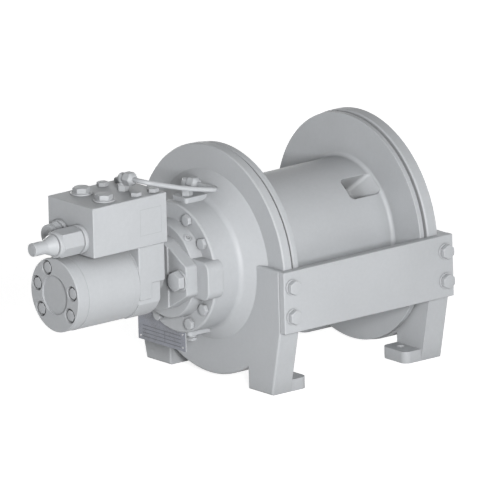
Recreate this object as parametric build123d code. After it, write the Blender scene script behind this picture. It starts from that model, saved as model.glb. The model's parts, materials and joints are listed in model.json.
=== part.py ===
from build123d import *

import os
from math import acos, cos, degrees, pi, radians, sin, sqrt, tan

# Hydraulic planetary rope winch: rope drum in two cast side frames, gearing and disc brake inside.
# The model is built about the drum axis (Y = Z = 0) and raised to its height on export.
# X runs along the drum, the hydraulic motor is at -X, +Z is up. Millimetres and degrees.

# Gearing
MODULE = 2.5
RING_TEETH = 54
SUN_1_TEETH = 12
PLANET_1_TEETH = 21
SUN_2_TEETH = 18
PLANET_2_TEETH = 18
PLANETS = 3
FIRST_PLANET = 90.0
PRESSURE_ANGLE = 20.0
BACKLASH = 0.5
ADDENDUM = 0.9
DEDENDUM = 1.25
RING_WALL = 7.375
RING_OVERLAP = 5.0
PLANET_1_WIDTH = 21.0
PLANET_2_WIDTH = 30.0
STAGE_GAP = 2.5
CARRIER_TIP_GAP = 3.25
CARRIER_SIDE_GAP = 0.5
CARRIER_RING = 3.5
CARRIER_RING_DEPTH = 32.5
CARRIER_1_PLATE = 9.0
CARRIER_2_PLATE = 21.5
PIN_1_RADIUS = 8.0
PIN_2_RADIUS = 10.0
PIN_2_COVER = 5.0
BRIDGE_WIDTH = 18.0
BRIDGE_DEPTH = 13.0
BRIDGE_SETBACK = 1.0
SUN_STUB_RADIUS = 14.0

# Rope drum
BARREL_WALL = 8.0
FLANGE_HEIGHT = 53.0
FLANGE_THICKNESS = 7.5
ROPE_WIDTH = 187.0
BARREL_FILLET = 5.0
FLANGE_CHAMFER = 1.5
DRUM_OFFSET = 4.5
DRUM_WALL_GAP = 4.0
DRUM_CAVITY_GAP = 8.8
POCKET_LENGTH = 41.0
POCKET_WIDTH = 31.0
POCKET_DEPTH = 23.0
POCKET_FLOOR = 14.0
POCKET_LIP = 3.0
POCKET_CORNER = 6.0
POCKET_ANGLE = 130.5

# Bearings and seals
DRUM_BEARING_STEP = 2.0
SPIGOT_RADIUS = 52.5
SPIGOT_WALL = 16.5
DRUM_BEARING_WIDTH = 26.0
FAR_BEARING_BORE = 35.0
FAR_BEARING_RADIUS = 55.0
FAR_BEARING_WIDTH = 20.0
SHAFT_BEARING_BORE = 12.5
SHAFT_BEARING_RADIUS = 26.0
SHAFT_BEARING_WIDTH = 15.0
BEARING_RACE_SHARE = 0.45
BEARING_SHOULDER = 7.0
SHAFT_SHOULDER = 4.0
SEAL_WIDTH = 4.6
SEAL_STEP = 5.0
SEAL_RECESS = 0.9
FAR_SEAL_RECESS = 0.1
SPIGOT_STEP = 5.5
SPIGOT_SETBACK = 0.3

# Side frames
DRUM_SIDE_GAP = 2.8
FLANGE_COVER = 1.5
PLATE_GAP = 0.6
FLOOR_GAP = 5.5
DRIVE_SHIELD_THICKNESS = 13.0
FAR_SHIELD_THICKNESS = 15.5
LEG_OVERHANG = 28.7
LEG_THICKNESS = 28.5
LEG_TOP = 12.0
PAD_HEIGHT = 76.8
FOOT_SPACING_Y = 188.0
FOOT_HOLE_DIAMETER = 11.0
FOOT_HOLE_INSET = 39.7
FOOT_TOE = 15.1
FOOT_OUTER_EDGE = 27.0
FOOT_INNER_EDGE = 19.2
FOOT_THICKNESS = 14.4
LEG_CORNER = 8.0
FOOT_CORNER = 9.0
SHIELD_EDGE = 1.5
CASTING_ROUND = 2.5

# Tie plates
TIE_PLATE_THICKNESS = 10.0
TIE_BOLT_END = 12.4
TIE_PLATE_EDGE = 0.8
TIE_BOLT_TOP_EDGE = 19.2
TIE_BOLT_BOTTOM_EDGE = 20.8
TIE_BOLT_DEPTH = 20.0

# Brake housing and its cover
HUB_RADIUS = 80.4
HUB_LENGTH = 50.9
HUB_CONE_LENGTH = 19.2
HUB_CONE_FLARE = 29.8
HUB_CONE_ROUND = 9.0
PORT_PAD_WIDTH = 27.6
PORT_PAD_RISE = 5.3
PORT_PAD_INSET = 3.0
PORT_PAD_LENGTH = 36.7
PORT_PAD_CORNER = 4.0
COVER_DEPTH = 23.2
COVER_RING_THICKNESS = 7.0
COVER_EDGE = 1.8
COVER_PILOT = 4.0
BOSS_DRAFT = 1.9
BOSS_EDGE = 1.2
LOBE_REACH = 6.0
LOBE_HEIGHT = 48.0
LOBE_CORNER = 12.0
PILOT_SINK_GAP = 0.5
COVER_BORE_GAP = 2.0
SPRING_BORE_GAP = 1.0
COVER_BOLT_INSET = 9.3
COVER_HEAD_GAP = 2.8
COVER_BOLT_ANGLES = (35, 65, 115, 145, 215, 245, 295, 325)
COVER_BOLT_DEPTH = 16.0
COVER_PLUG_ANGLE = 130.0
COVER_PLUG_RADIUS = 5.0
COVER_PLUG_SINK = 3.0
COVER_PLUG_PROUD = 1.6
COVER_PLUG_SOCKET = 5.0
COVER_PLUG_SOCKET_DEPTH = 2.6
DRAIN_PLUG_RADIUS = 8.0
DRAIN_PLUG_HEIGHT = 4.6
DRAIN_PLUG_HEX = (13.0, 5.0)

# Brake inside the housing
PISTON_BORE = 52.0
DISC_BORE = 46.0
PISTON_BORE_DEPTH = 18.2
BRAKE_PORT_SHIFT = 0.4
BRAKE_DEPTH = 42.2
DISC_THICKNESS = 2.0
DISC_GAP = 0.25
FRICTION_DISCS = 4
LINING_SETBACK = 3.0
PISTON_SKIRT = 10.0
PISTON_FLANGE = 5.5
PISTON_INNER = 30.0
SPRING_SEAT_DEPTH = 14.4
SPRING_OUTER = 48.0
SPRING_INNER = 32.0
SPRING_SHEET = 3.0

# Input shaft and far-side trunnion
SHAFT_RADIUS = 11.0
SHAFT_COLLAR = 3.0
BRAKE_HUB_RADIUS = 24.0
BRAKE_HUB_SETBACK = 2.0
SLEEVE_RADIUS = 19.0
SLEEVE_LENGTH = 22.0
MOTOR_SHAFT_RADIUS = 12.5
MOTOR_SHAFT_REACH = 45.0
MOTOR_SHAFT_END_GAP = 0.3
MOTOR_SHAFT_GAP = 0.5
TRUNNION_FLANGE = 66.0
TRUNNION_FLANGE_THICKNESS = 10.0
TRUNNION_JOURNAL = 45.0
TRUNNION_BORE = 12.0
TRUNNION_SHOULDER = 1.0
TRUNNION_LEAD = 1.0
TRUNNION_BOSS_WALL = 10.0
TRUNNION_BOSS_FLARE = 8.0
TRUNNION_BOLT_INSET = 11.0
TRUNNION_BOLT_DEPTH = 12.0
TRUNNION_BOLTS = 8
CARRIER_SCREW_CIRCLE = 23.0
CARRIER_SCREWS = 4
CARRIER_SCREW_START = 45.0
CARRIER_SCREW_HEAD = 6.5
CARRIER_SCREW_HEIGHT = 8.0
CARRIER_SCREW_SINK = 8.5
CARRIER_SCREW_DEPTH = 14.0
CARRIER_SCREW_GAP = 1.0

# Hydraulic motor
MOTOR_RADIUS = 46.2
MOTOR_COVER_STEP = 0.5
MOTOR_COVER_EDGE = 0.8
MOTOR_COVER_THICKNESS = 16.6
MOTOR_RING_LENGTH = 69.8
MOTOR_SPACER_LENGTH = 8.4
MOTOR_BODY_LENGTH = 31.9
MOTOR_NECK_STEP = 7.8
MOTOR_NECK_LENGTH = 23.5
MOTOR_FLANGE_THICKNESS = 16.8
MOTOR_FLANGE_RADIUS = 50.8
MOTOR_FLANGE_EAR = 12.1
MOTOR_FLANGE_END = 32.4
MOTOR_FLANGE_CORNER = 5.0
MOTOR_FLANGE_EDGE = 1.2
MOTOR_BOLT_SPACING = 106.4
MOTOR_BOLT_DEPTH = 14.0
MOTOR_PILOT_RADIUS = 41.2
MOTOR_PILOT_HEIGHT = 6.0
MOTOR_PORT_START = 1.2
MOTOR_PORT_LENGTH = 39.6
MOTOR_PORT_DROP = 17.8
MOTOR_PORT_STEP = 1.6
MOTOR_PORT_STEP_START = 18.8
MOTOR_PORT_STEP_END = 22.7
MOTOR_PORT_EDGE = 1.0
MOTOR_COVER_RECESS = 24.0
MOTOR_COVER_RECESS_DEPTH = 2.4
MOTOR_COVER_BOLT_INSET = 10.9
MOTOR_COVER_BOLT_ANGLES = (14.8, 66.5, 166.3, 215.5, 321.2)
MOTOR_COVER_BOLT_GRIP = 40.0
MOTOR_COVER_SEAT_GAP = 0.7
MOTOR_COUNTERBORE = 9.3

# Valve block on the motor
BLOCK_LENGTH = 113.2
BLOCK_DEPTH = 86.8
BLOCK_HEIGHT = 61.8
BLOCK_SEAT = 2.2
BLOCK_OVERHANG = 5.2
BLOCK_EDGE = 0.8
BLOCK_BOLT_END = 11.2
BLOCK_BOLT_PITCH = 26.9
BLOCK_BOLT_INSET = 11.7
BLOCK_BOLT_DEPTH = 14.0
PORT_PLUG_END = 34.8
PORT_PLUG_PITCH = 43.4
PORT_PLUG_BORE = 8.6
PORT_PLUG_BORE_DEPTH = 14.0
PORT_PLUG_LENGTH = 12.0
PORT_PLUG_COLLAR = (13.8, 2.2)
PORT_PLUG_HEX = (19.0, 6.6)
BLOCK_ELBOW_END = 32.1
CARTRIDGE_FRONT = 26.2
CARTRIDGE_PITCH = 37.7
CARTRIDGE_RISE = 20.0
CARTRIDGE_BORE = 13.0
CARTRIDGE_DEPTH = 40.0
CARTRIDGE_BORE_DEPTH = 45.0
CARTRIDGE_COLLAR = (17.8, 5.4)
CARTRIDGE_HEX = (30.0, 30.6)
CARTRIDGE_HEX_TURN = 20.0
CARTRIDGE_NOSE = (16.1, 6.0)
CAP_TAPER = (13.4, 13.3)
CAP_STEM = (8.3, 19.5)
SECOND_COLLAR = (16.5, 4.6)
SECOND_HEX = (27.0, 9.0)
SECOND_NOSE = (13.5, 7.0)
SPOTFACE_DEPTH = 0.6
SPOTFACE_RADIUS = 18.0

# Brake pipe between valve block and brake housing
PIPE_RADIUS = 2.5
STUB_RADIUS = 4.7
STUB_LENGTH = 8.0
STUB_COLLAR = (7.2, 7.5)
ELBOW_RISE = 16.2
ELBOW_BODY = 6.0
ELBOW_NECK = 5.0
NUT_START = 6.0
NUT_END = 20.0
NUT_ACROSS = 14.0
PIPE_SOCKET = 6.0
BLOCK_ELBOW_TURN = 6.0
BRAKE_ELBOW_TURN = 8.0
PIPE_FIRST_CORNER = 38.0
PIPE_LAST_CORNER = 48.6
PIPE_ROUTE = ((-199.2, -47.7, 111.0), (-157.2, -56.8, 103.2))

# Nameplate below the brake housing
NAMEPLATE_LENGTH = 90.0
NAMEPLATE_REAR = 81.6
NAMEPLATE_DROP = 25.2
NAMEPLATE_HEIGHT = 47.6
NAMEPLATE_SHEET = 0.8
NAMEPLATE_GAP = 0.4
BRACKET_SHEET = 1.5
BRACKET_SETBACK = 1.0
RIVET_RADIUS = 1.6
RIVET_HEIGHT = 0.6
RIVET_INSET = 4.5

# Fasteners: thread diameter, width across flats, head height
M8 = (8.0, 13.0, 5.3)
M10 = (10.0, 16.0, 6.4)
M14 = (14.0, 22.0, 8.8)
M10_WASHER = (10.0, 2.0)
M14_WASHER = (13.5, 2.0)
SHANK_END_GAP = 2.0

# Clearances
BOLT_CLEARANCE = 0.25
SEAT_CLEARANCE = 0.05
RUNNING_CLEARANCE = 0.05

# Radii that follow from the gearing
SIDES = (-1, 1)
PLANET_ANGLES = tuple(FIRST_PLANET + 360 / PLANETS * index for index in range(PLANETS))
RING_PITCH = MODULE * RING_TEETH / 2
RING_TIP = RING_PITCH - ADDENDUM * MODULE
RING_OUTER = RING_PITCH + DEDENDUM * MODULE + RING_WALL
CARRIER_RADIUS = RING_TIP - CARRIER_TIP_GAP
CARRIER_INNER = CARRIER_RADIUS - CARRIER_RING_DEPTH
BRIDGE_INNER = CARRIER_RADIUS - BRIDGE_DEPTH
DRUM_BEARING = (SPIGOT_RADIUS, RING_OUTER + DRUM_BEARING_STEP, DRUM_BEARING_WIDTH)
FAR_BEARING = (FAR_BEARING_BORE, FAR_BEARING_RADIUS, FAR_BEARING_WIDTH)
SHAFT_BEARING = (SHAFT_BEARING_BORE, SHAFT_BEARING_RADIUS, SHAFT_BEARING_WIDTH)
SEAL_SEAT = SPIGOT_RADIUS + SPIGOT_STEP
FAR_SEAL_SEAT = FAR_BEARING_BORE + SEAL_STEP
TRUNNION_NOSE = FAR_BEARING_BORE - TRUNNION_SHOULDER
BARREL_RADIUS = RING_OUTER + BARREL_WALL
FLANGE_RADIUS = BARREL_RADIUS + FLANGE_HEIGHT
SHIELD_RADIUS = FLANGE_RADIUS + FLANGE_COVER
PAD_FACE = FLANGE_RADIUS + PLATE_GAP
AXIS_HEIGHT = SHIELD_RADIUS + FLOOR_GAP
DRUM_WALL_INNER = CARRIER_RADIUS + DRUM_WALL_GAP
DRUM_NECK_BORE = FAR_BEARING_RADIUS - BEARING_SHOULDER

# Places along the drum, from the rope's width
DRUM_LEFT = -ROPE_WIDTH / 2 - FLANGE_THICKNESS - DRUM_OFFSET
RIGHT_FLANGE_INNER = DRUM_LEFT + FLANGE_THICKNESS + ROPE_WIDTH
DRUM_RIGHT = RIGHT_FLANGE_INNER + FLANGE_THICKNESS
LEG_OUTER_FACE = ROPE_WIDTH / 2 + FLANGE_THICKNESS + LEG_OVERHANG
FOOT_SPACING_X = 2 * (LEG_OUTER_FACE - FOOT_HOLE_INSET)
DRIVE_SHIELD_INNER = DRUM_LEFT - DRUM_SIDE_GAP
DRIVE_SHIELD_OUTER = DRIVE_SHIELD_INNER - DRIVE_SHIELD_THICKNESS
FAR_SHIELD_INNER = DRUM_RIGHT + DRUM_SIDE_GAP
FAR_SHIELD_OUTER = FAR_SHIELD_INNER + FAR_SHIELD_THICKNESS
DRUM_BEARING_X = DRUM_LEFT + SEAL_WIDTH + SEAL_RECESS
BEARING_END = DRUM_BEARING_X + DRUM_BEARING_WIDTH
FAR_BEARING_END = DRUM_RIGHT - SEAL_WIDTH - FAR_SEAL_RECESS
FAR_BEARING_X = FAR_BEARING_END - FAR_BEARING_WIDTH
RING_START = BEARING_END
SPIGOT_END = BEARING_END - SPIGOT_SETBACK
PLANET_1_X = SPIGOT_END + STAGE_GAP + CARRIER_RING + CARRIER_SIDE_GAP
CARRIER_1_X = PLANET_1_X + PLANET_1_WIDTH + CARRIER_SIDE_GAP
CARRIER_1_END = CARRIER_1_X + CARRIER_1_PLATE
PLANET_2_X = CARRIER_1_END + STAGE_GAP + CARRIER_RING + CARRIER_SIDE_GAP
CARRIER_2_X = PLANET_2_X + PLANET_2_WIDTH + CARRIER_SIDE_GAP
CARRIER_2_END = CARRIER_2_X + CARRIER_2_PLATE
SUN_2_END = CARRIER_2_X - 2 * CARRIER_SIDE_GAP
PIN_2_END = CARRIER_2_END - PIN_2_COVER
RING_END = PLANET_2_X + PLANET_2_WIDTH + RING_OVERLAP
DRUM_NECK_START = CARRIER_2_END + DRUM_CAVITY_GAP
TRUNNION_SEAT = LEG_OUTER_FACE - TRUNNION_FLANGE_THICKNESS

# Tie plates and feet
PAD_BOTTOM = LEG_TOP - PAD_HEIGHT
TIE_BOLT_X = LEG_OUTER_FACE - TIE_BOLT_END
TIE_BOLT_HEIGHTS = (LEG_TOP - TIE_BOLT_TOP_EDGE, PAD_BOTTOM + TIE_BOLT_BOTTOM_EDGE)
TIE_BOLT_GRIP = TIE_PLATE_THICKNESS + TIE_BOLT_DEPTH
LEG_FOOT_FRONT = FOOT_SPACING_Y / 2 + FOOT_OUTER_EDGE
LEG_FOOT_REAR = FOOT_SPACING_Y / 2 - FOOT_INNER_EDGE
FOOT_END = FOOT_SPACING_X / 2 - FOOT_TOE

# Brake housing, outwards from the shield
HUB_FRONT = DRIVE_SHIELD_OUTER - HUB_LENGTH
HUB_CONE_START = DRIVE_SHIELD_OUTER - HUB_CONE_LENGTH
HUB_CONE_RADIUS = HUB_RADIUS + HUB_CONE_FLARE
PORT_PAD_TOP = HUB_RADIUS + PORT_PAD_RISE
COVER_FACE = HUB_FRONT - COVER_DEPTH
COVER_RING_FACE = HUB_FRONT - COVER_RING_THICKNESS
COVER_BOLT_CIRCLE = HUB_RADIUS - COVER_BOLT_INSET
COVER_BOLT_GRIP = COVER_RING_THICKNESS + COVER_BOLT_DEPTH
BOSS_RADIUS = COVER_BOLT_CIRCLE - M8[1] / sqrt(3) - COVER_HEAD_GAP - BOSS_DRAFT
PISTON_STEP = HUB_FRONT + PISTON_BORE_DEPTH
BRAKE_END_WALL = HUB_FRONT + BRAKE_DEPTH
DISC_PITCH = DISC_THICKNESS + DISC_GAP
PISTON_FACE = BRAKE_END_WALL - DISC_THICKNESS - 2 * FRICTION_DISCS * DISC_PITCH
PISTON_SHOULDER = PISTON_FACE - PISTON_SKIRT
PISTON_BACK = PISTON_SHOULDER - PISTON_FLANGE
BRAKE_PORT_X = (PISTON_SHOULDER + PISTON_STEP) / 2 + BRAKE_PORT_SHIFT
SPRING_SEAT = COVER_FACE + SPRING_SEAT_DEPTH
MOTOR_SHAFT_END = COVER_FACE + MOTOR_SHAFT_REACH
TRUNNION_BOLT_CIRCLE = TRUNNION_FLANGE - TRUNNION_BOLT_INSET
TRUNNION_BOLT_GRIP = TRUNNION_FLANGE_THICKNESS + TRUNNION_BOLT_DEPTH

# Motor and valve block, outwards from the cover
MOTOR_FLANGE_FACE = COVER_FACE - MOTOR_FLANGE_THICKNESS
MOTOR_FLANGE_REACH = MOTOR_BOLT_SPACING / 2 + MOTOR_FLANGE_EAR
MOTOR_BOLT_GRIP = MOTOR_FLANGE_THICKNESS + MOTOR_BOLT_DEPTH
MOTOR_BODY_END = MOTOR_FLANGE_FACE - MOTOR_NECK_LENGTH
MOTOR_BODY_START = MOTOR_BODY_END - MOTOR_BODY_LENGTH
MOTOR_SPACER_START = MOTOR_BODY_START - MOTOR_SPACER_LENGTH
MOTOR_RING_START = MOTOR_SPACER_START - MOTOR_RING_LENGTH
MOTOR_START = MOTOR_RING_START - MOTOR_COVER_THICKNESS
MOTOR_NECK_RADIUS = MOTOR_RADIUS - MOTOR_NECK_STEP
MOTOR_COVER_RADIUS = MOTOR_RADIUS - MOTOR_COVER_STEP
MOTOR_COVER_BOLT_CIRCLE = MOTOR_COVER_RADIUS - MOTOR_COVER_BOLT_INSET
MOTOR_COVER_SEAT = MOTOR_START + M8[2] + MOTOR_COVER_SEAT_GAP
MOTOR_PORT_LEFT = MOTOR_BODY_START + MOTOR_PORT_START
MOTOR_PORT_RIGHT = MOTOR_PORT_LEFT + MOTOR_PORT_LENGTH
BLOCK_BOTTOM = MOTOR_RADIUS + BLOCK_SEAT
BLOCK_TOP = BLOCK_BOTTOM + BLOCK_HEIGHT
BLOCK_RIGHT = MOTOR_PORT_RIGHT + BLOCK_OVERHANG
BLOCK_LEFT = BLOCK_RIGHT - BLOCK_LENGTH
BLOCK_BOLT_X = (BLOCK_RIGHT - BLOCK_BOLT_END - BLOCK_BOLT_PITCH, BLOCK_RIGHT - BLOCK_BOLT_END)
BLOCK_BOLT_Y = BLOCK_DEPTH / 2 - BLOCK_BOLT_INSET
BLOCK_BOLT_GRIP = BLOCK_HEIGHT + BLOCK_BOLT_DEPTH
PORT_PLUG_X = BLOCK_LEFT + PORT_PLUG_END
PORT_PLUG_Y = PORT_PLUG_PITCH / 2
BLOCK_ELBOW_X = BLOCK_RIGHT - BLOCK_ELBOW_END
CARTRIDGE_Y = CARTRIDGE_FRONT - BLOCK_DEPTH / 2
SECOND_CARTRIDGE_Y = CARTRIDGE_Y + CARTRIDGE_PITCH
CARTRIDGE_Z = BLOCK_BOTTOM + CARTRIDGE_RISE

# Nameplate
NAMEPLATE_FRONT = NAMEPLATE_REAR - NAMEPLATE_LENGTH
NAMEPLATE_BOTTOM = -HUB_RADIUS - NAMEPLATE_DROP
NAMEPLATE_TOP = NAMEPLATE_BOTTOM + NAMEPLATE_HEIGHT
ELBOW_MOUTH = NUT_START + PIPE_SOCKET


def turned(*outline, rounds=()):
    """Solid turned about the drum axis from (x, radius) corners, with some corners rounded."""
    face = make_face(Polyline(*outline, close=True))
    for corner, radius in rounds:
        face = fillet(face.vertices().sort_by_distance(corner)[0], radius)
    return revolve(face, Axis.X)


def ring(start, end, inner, outer):
    """Plain ring or disc on the drum axis."""
    return turned((start, inner), (start, outer), (end, outer), (end, inner))


def slab(sketch, start, end):
    """Sketch in (y, z) made solid between two places along x."""
    start, end = sorted((start, end))
    return extrude(Plane.YZ.offset(start) * sketch, amount=end - start)


def polygon(*corners):
    """Face from its corners."""
    return make_face(Polyline(*corners, close=True))


def box(x, y, z):
    """Box from its limits along x, y and z."""
    size = (x[1] - x[0], y[1] - y[0], z[1] - z[0])
    return Pos((x[0] + x[1]) / 2, (y[0] + y[1]) / 2, (z[0] + z[1]) / 2) * Box(*size)


def round_bar(radius, length):
    """Cylinder from the origin upwards."""
    return Cylinder(radius, length, align=(Align.CENTER, Align.CENTER, Align.MIN))


def hex_bar(across_flats, length):
    """Hexagonal bar from the origin upwards."""
    return extrude(RegularPolygon(across_flats / 2, 6, major_radius=False), amount=length)


def stacked(start, *bars):
    """Bars set on each other along Z, each given as its builder, width and length."""
    height = start
    pieces = []
    for build, width, length in bars:
        pieces.append(Pos(Z=height) * build(width, length))
        height += length
    return pieces[0].fuse(*pieces[1:])


def around(angles, radius):
    """Places about the drum axis, each with its own x along X and its y outwards."""
    return [Rot(X=angle) * Pos(Y=radius) for angle in angles]


TO_LEFT = Rot(Y=-90)
TO_RIGHT = Rot(Y=90)


def bolt(size, grip, washer=None):
    """Hexagon bolt along Z: seat at the origin, head up, shank down to just short of its hole."""
    diameter, across_flats, head = size
    lift = washer[1] if washer else 0.0
    shank = grip - SHANK_END_GAP
    return Pos(Z=lift) * hex_bar(across_flats, head) + Pos(Z=-shank) * round_bar(diameter / 2, shank + lift)


def bolt_hole(size, depth):
    """Hole down from the seat for a bolt's shank."""
    return Pos(Z=-depth) * round_bar(size[0] / 2 + BOLT_CLEARANCE, depth)


def washer_ring(size, washer):
    """Flat washer on its seat at the origin."""
    return round_bar(washer[0], washer[1]) - round_bar(size[0] / 2 + BOLT_CLEARANCE, washer[1])


# Gear teeth


def involute(angle):
    """Involute function of an angle in radians."""
    return tan(angle) - angle


def tooth_half_angle(radius, teeth, thinning):
    """Half the angle that a tooth spans at a radius, in radians."""
    pitch = MODULE * teeth / 2
    base = pitch * cos(radians(PRESSURE_ANGLE))
    at_pitch = (pi * MODULE / 4 - thinning) / pitch
    here = involute(acos(min(1.0, base / radius)))
    return at_pitch + involute(radians(PRESSURE_ANGLE)) - here


def toothed_outline(teeth, tip, root, thinning):
    """Sketch of a toothed wheel with involute flanks, a tooth centred on its own y direction."""
    radii = (root, (root + tip) / 2, tip)
    flank = [(radius, tooth_half_angle(radius, teeth, thinning)) for radius in radii]
    profile = [(radius, -half) for radius, half in flank] + flank[::-1]
    points = []
    for tooth in range(teeth):
        middle = 2 * pi * tooth / teeth
        for radius, angle in profile:
            points.append((radius * cos(middle + angle), radius * sin(middle + angle)))
    return polygon(*points)


def spur_wheel(teeth, start, length):
    """Solid external gear on the axis."""
    pitch = MODULE * teeth / 2
    outline = toothed_outline(teeth, pitch + ADDENDUM * MODULE, pitch - DEDENDUM * MODULE, BACKLASH / 2)
    return slab(outline, start, start + length)


def planet_radius(planet_teeth):
    """Distance of the planets' centres from the drum axis."""
    return MODULE * (RING_TEETH - planet_teeth) / 2


def planet_turn(planet_teeth, place):
    """Turn that puts a planet's teeth into the ring's spaces at its place, in degrees."""
    pitch_angle = 360 / RING_TEETH
    offset = round(place / pitch_angle) * pitch_angle - place
    return place + offset * RING_TEETH / planet_teeth


def sun_turn(sun_teeth, planet_teeth, place):
    """Turn that puts a sun's spaces around a planet's inner teeth, in degrees."""
    pitch_angle = 360 / planet_teeth
    facing = place + 180 - planet_turn(planet_teeth, place)
    offset = round(facing / pitch_angle) * pitch_angle - facing
    return place - offset * planet_teeth / sun_teeth + 180 / sun_teeth


# Rope drum


def make_drum():
    flange_inner = DRUM_LEFT + FLANGE_THICKNESS
    left_root = (flange_inner, BARREL_RADIUS)
    right_root = (RIGHT_FLANGE_INNER, BARREL_RADIUS)
    body = turned(
        (DRUM_LEFT, DRUM_BEARING[1]),
        (DRUM_LEFT, FLANGE_RADIUS - FLANGE_CHAMFER),
        (DRUM_LEFT + FLANGE_CHAMFER, FLANGE_RADIUS),
        (flange_inner, FLANGE_RADIUS),
        left_root,
        right_root,
        (RIGHT_FLANGE_INNER, FLANGE_RADIUS),
        (DRUM_RIGHT - FLANGE_CHAMFER, FLANGE_RADIUS),
        (DRUM_RIGHT, FLANGE_RADIUS - FLANGE_CHAMFER),
        (DRUM_RIGHT, FAR_BEARING[1]),
        (FAR_BEARING_X, FAR_BEARING[1]),
        (FAR_BEARING_X, DRUM_NECK_BORE),
        (DRUM_NECK_START, DRUM_NECK_BORE),
        (DRUM_NECK_START, DRUM_WALL_INNER),
        (RING_END, DRUM_WALL_INNER),
        (RING_END, RING_OUTER),
        (RING_START, RING_OUTER),
        (RING_START, DRUM_BEARING[1]),
        rounds=((left_root, BARREL_FILLET), (right_root, BARREL_FILLET)),
    )
    return body - rope_pocket()


def rope_pocket():
    """Pocket for the rope's end and its wedge: deep at one end, with a ramp up to the flange."""
    start = RIGHT_FLANGE_INNER - POCKET_LENGTH
    mouth = BARREL_RADIUS + BARREL_FILLET
    side = polygon(
        (start, mouth),
        (start, BARREL_RADIUS - POCKET_DEPTH),
        (start + POCKET_FLOOR, BARREL_RADIUS - POCKET_DEPTH),
        (RIGHT_FLANGE_INNER, BARREL_RADIUS - POCKET_LIP),
        (RIGHT_FLANGE_INNER, mouth),
    )
    plan = RectangleRounded(POCKET_LENGTH, POCKET_WIDTH, POCKET_CORNER)
    plan = Plane.XZ * Pos(RIGHT_FLANGE_INNER - POCKET_LENGTH / 2, 0) * plan
    wedge = extrude(side, amount=POCKET_WIDTH / 2, both=True) & extrude(plan, amount=-mouth)
    return Rot(X=POCKET_ANGLE) * wedge


def make_ring_gear():
    pitch = MODULE * RING_TEETH / 2
    spaces = toothed_outline(
        RING_TEETH, pitch + DEDENDUM * MODULE, pitch - ADDENDUM * MODULE, -BACKLASH / 2
    )
    blank = Circle(RING_OUTER - SEAT_CLEARANCE) - spaces
    return slab(blank, RING_START, RING_END - SEAT_CLEARANCE)


# Bearings and seals


def bearing_rings(size, start):
    """Sealed ball bearing as its inner ring and its outer ring with the shields."""
    inner, outer, width = size
    split = inner + (outer - inner) * BEARING_RACE_SHARE
    return (
        ring(start, start + width, inner + SEAT_CLEARANCE, split - RUNNING_CLEARANCE),
        ring(start, start + width, split, outer - SEAT_CLEARANCE),
    )


def make_drive_seal():
    end = DRUM_BEARING_X - SEAT_CLEARANCE
    outer = DRUM_BEARING[1] - SEAT_CLEARANCE
    return ring(end - SEAL_WIDTH, end, SEAL_SEAT + RUNNING_CLEARANCE, outer)


def make_far_seal():
    start = FAR_BEARING_END + SEAT_CLEARANCE
    outer = FAR_BEARING[1] - SEAT_CLEARANCE
    return ring(start, start + SEAL_WIDTH, FAR_SEAL_SEAT + RUNNING_CLEARANCE, outer)


# Side frames


def leg_outline():
    """Rear leg in (y, z), from the tie plate's pad down to the foot."""
    bottom = -AXIS_HEIGHT
    meeting = -sqrt(SHIELD_RADIUS**2 - LEG_FOOT_REAR**2) + LEG_CORNER
    return polygon(
        (0, LEG_TOP),
        (PAD_FACE, LEG_TOP),
        (PAD_FACE, PAD_BOTTOM),
        (LEG_FOOT_FRONT, bottom),
        (LEG_FOOT_REAR, bottom),
        (LEG_FOOT_REAR, meeting),
        (0, PAD_BOTTOM),
    )


def frame_outline():
    """Lower half of a frame in (y, z): web with both legs, cut flat for the tie plates."""
    below = Pos(0, LEG_TOP - SHIELD_RADIUS) * Rectangle(2 * PAD_FACE, 2 * SHIELD_RADIUS)
    leg = leg_outline()
    return (Circle(SHIELD_RADIUS) & below) + leg + mirror(leg, Plane.YZ)


def frame_foot(direction, side):
    """Foot turned inwards from a leg, with rounded corners."""
    root = LEG_OUTER_FACE - LEG_THICKNESS / 2
    length = root - FOOT_END
    width = LEG_FOOT_FRONT - LEG_FOOT_REAR
    centre = Pos(direction * (FOOT_END + length / 2), side * (LEG_FOOT_FRONT + LEG_FOOT_REAR) / 2)
    return Pos(Z=-AXIS_HEIGHT) * centre * extrude(
        RectangleRounded(length, width, FOOT_CORNER), amount=FOOT_THICKNESS
    )


def frame_blank(direction, shield_inner, shield_outer):
    """Shield disc, deeper lower web, legs and feet of one side, -1 for the drive side."""
    edge = direction * SHIELD_EDGE
    shield = turned(
        (shield_inner, 0),
        (shield_inner, SHIELD_RADIUS - SHIELD_EDGE),
        (shield_inner + edge, SHIELD_RADIUS),
        (shield_outer - edge, SHIELD_RADIUS),
        (shield_outer, SHIELD_RADIUS - SHIELD_EDGE),
        (shield_outer, 0),
    )
    web = slab(frame_outline(), direction * LEG_OUTER_FACE, shield_inner)
    face = web.faces().sort_by(Axis.X)[0 if direction < 0 else -1]
    web = fillet(face.edges(), CASTING_ROUND)
    clear = ring(DRIVE_SHIELD_INNER, FAR_SHIELD_INNER, 0, FLANGE_RADIUS + DRUM_SIDE_GAP)
    leg = leg_outline()
    inner = direction * (LEG_OUTER_FACE - LEG_THICKNESS)
    middle = direction * (LEG_OUTER_FACE - LEG_THICKNESS / 2)
    legs = slab(leg + mirror(leg, Plane.YZ), inner, middle) - clear
    frame = shield + web + legs
    for side in SIDES:
        frame += frame_foot(direction, side)
        depth = sorted((side * PAD_FACE, side * 2 * PAD_FACE))
        frame -= box((-LEG_OUTER_FACE, LEG_OUTER_FACE), depth, (PAD_BOTTOM, LEG_TOP))
    return frame


def tie_bolt_places(direction):
    """Seats of a frame side's tie bolts on the front and rear pads."""
    places = []
    for side in SIDES:
        for height in TIE_BOLT_HEIGHTS:
            seat = side * (PAD_FACE + TIE_PLATE_THICKNESS)
            places.append(Pos(direction * TIE_BOLT_X, seat, height) * Rot(X=-90 * side))
    return places


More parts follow.
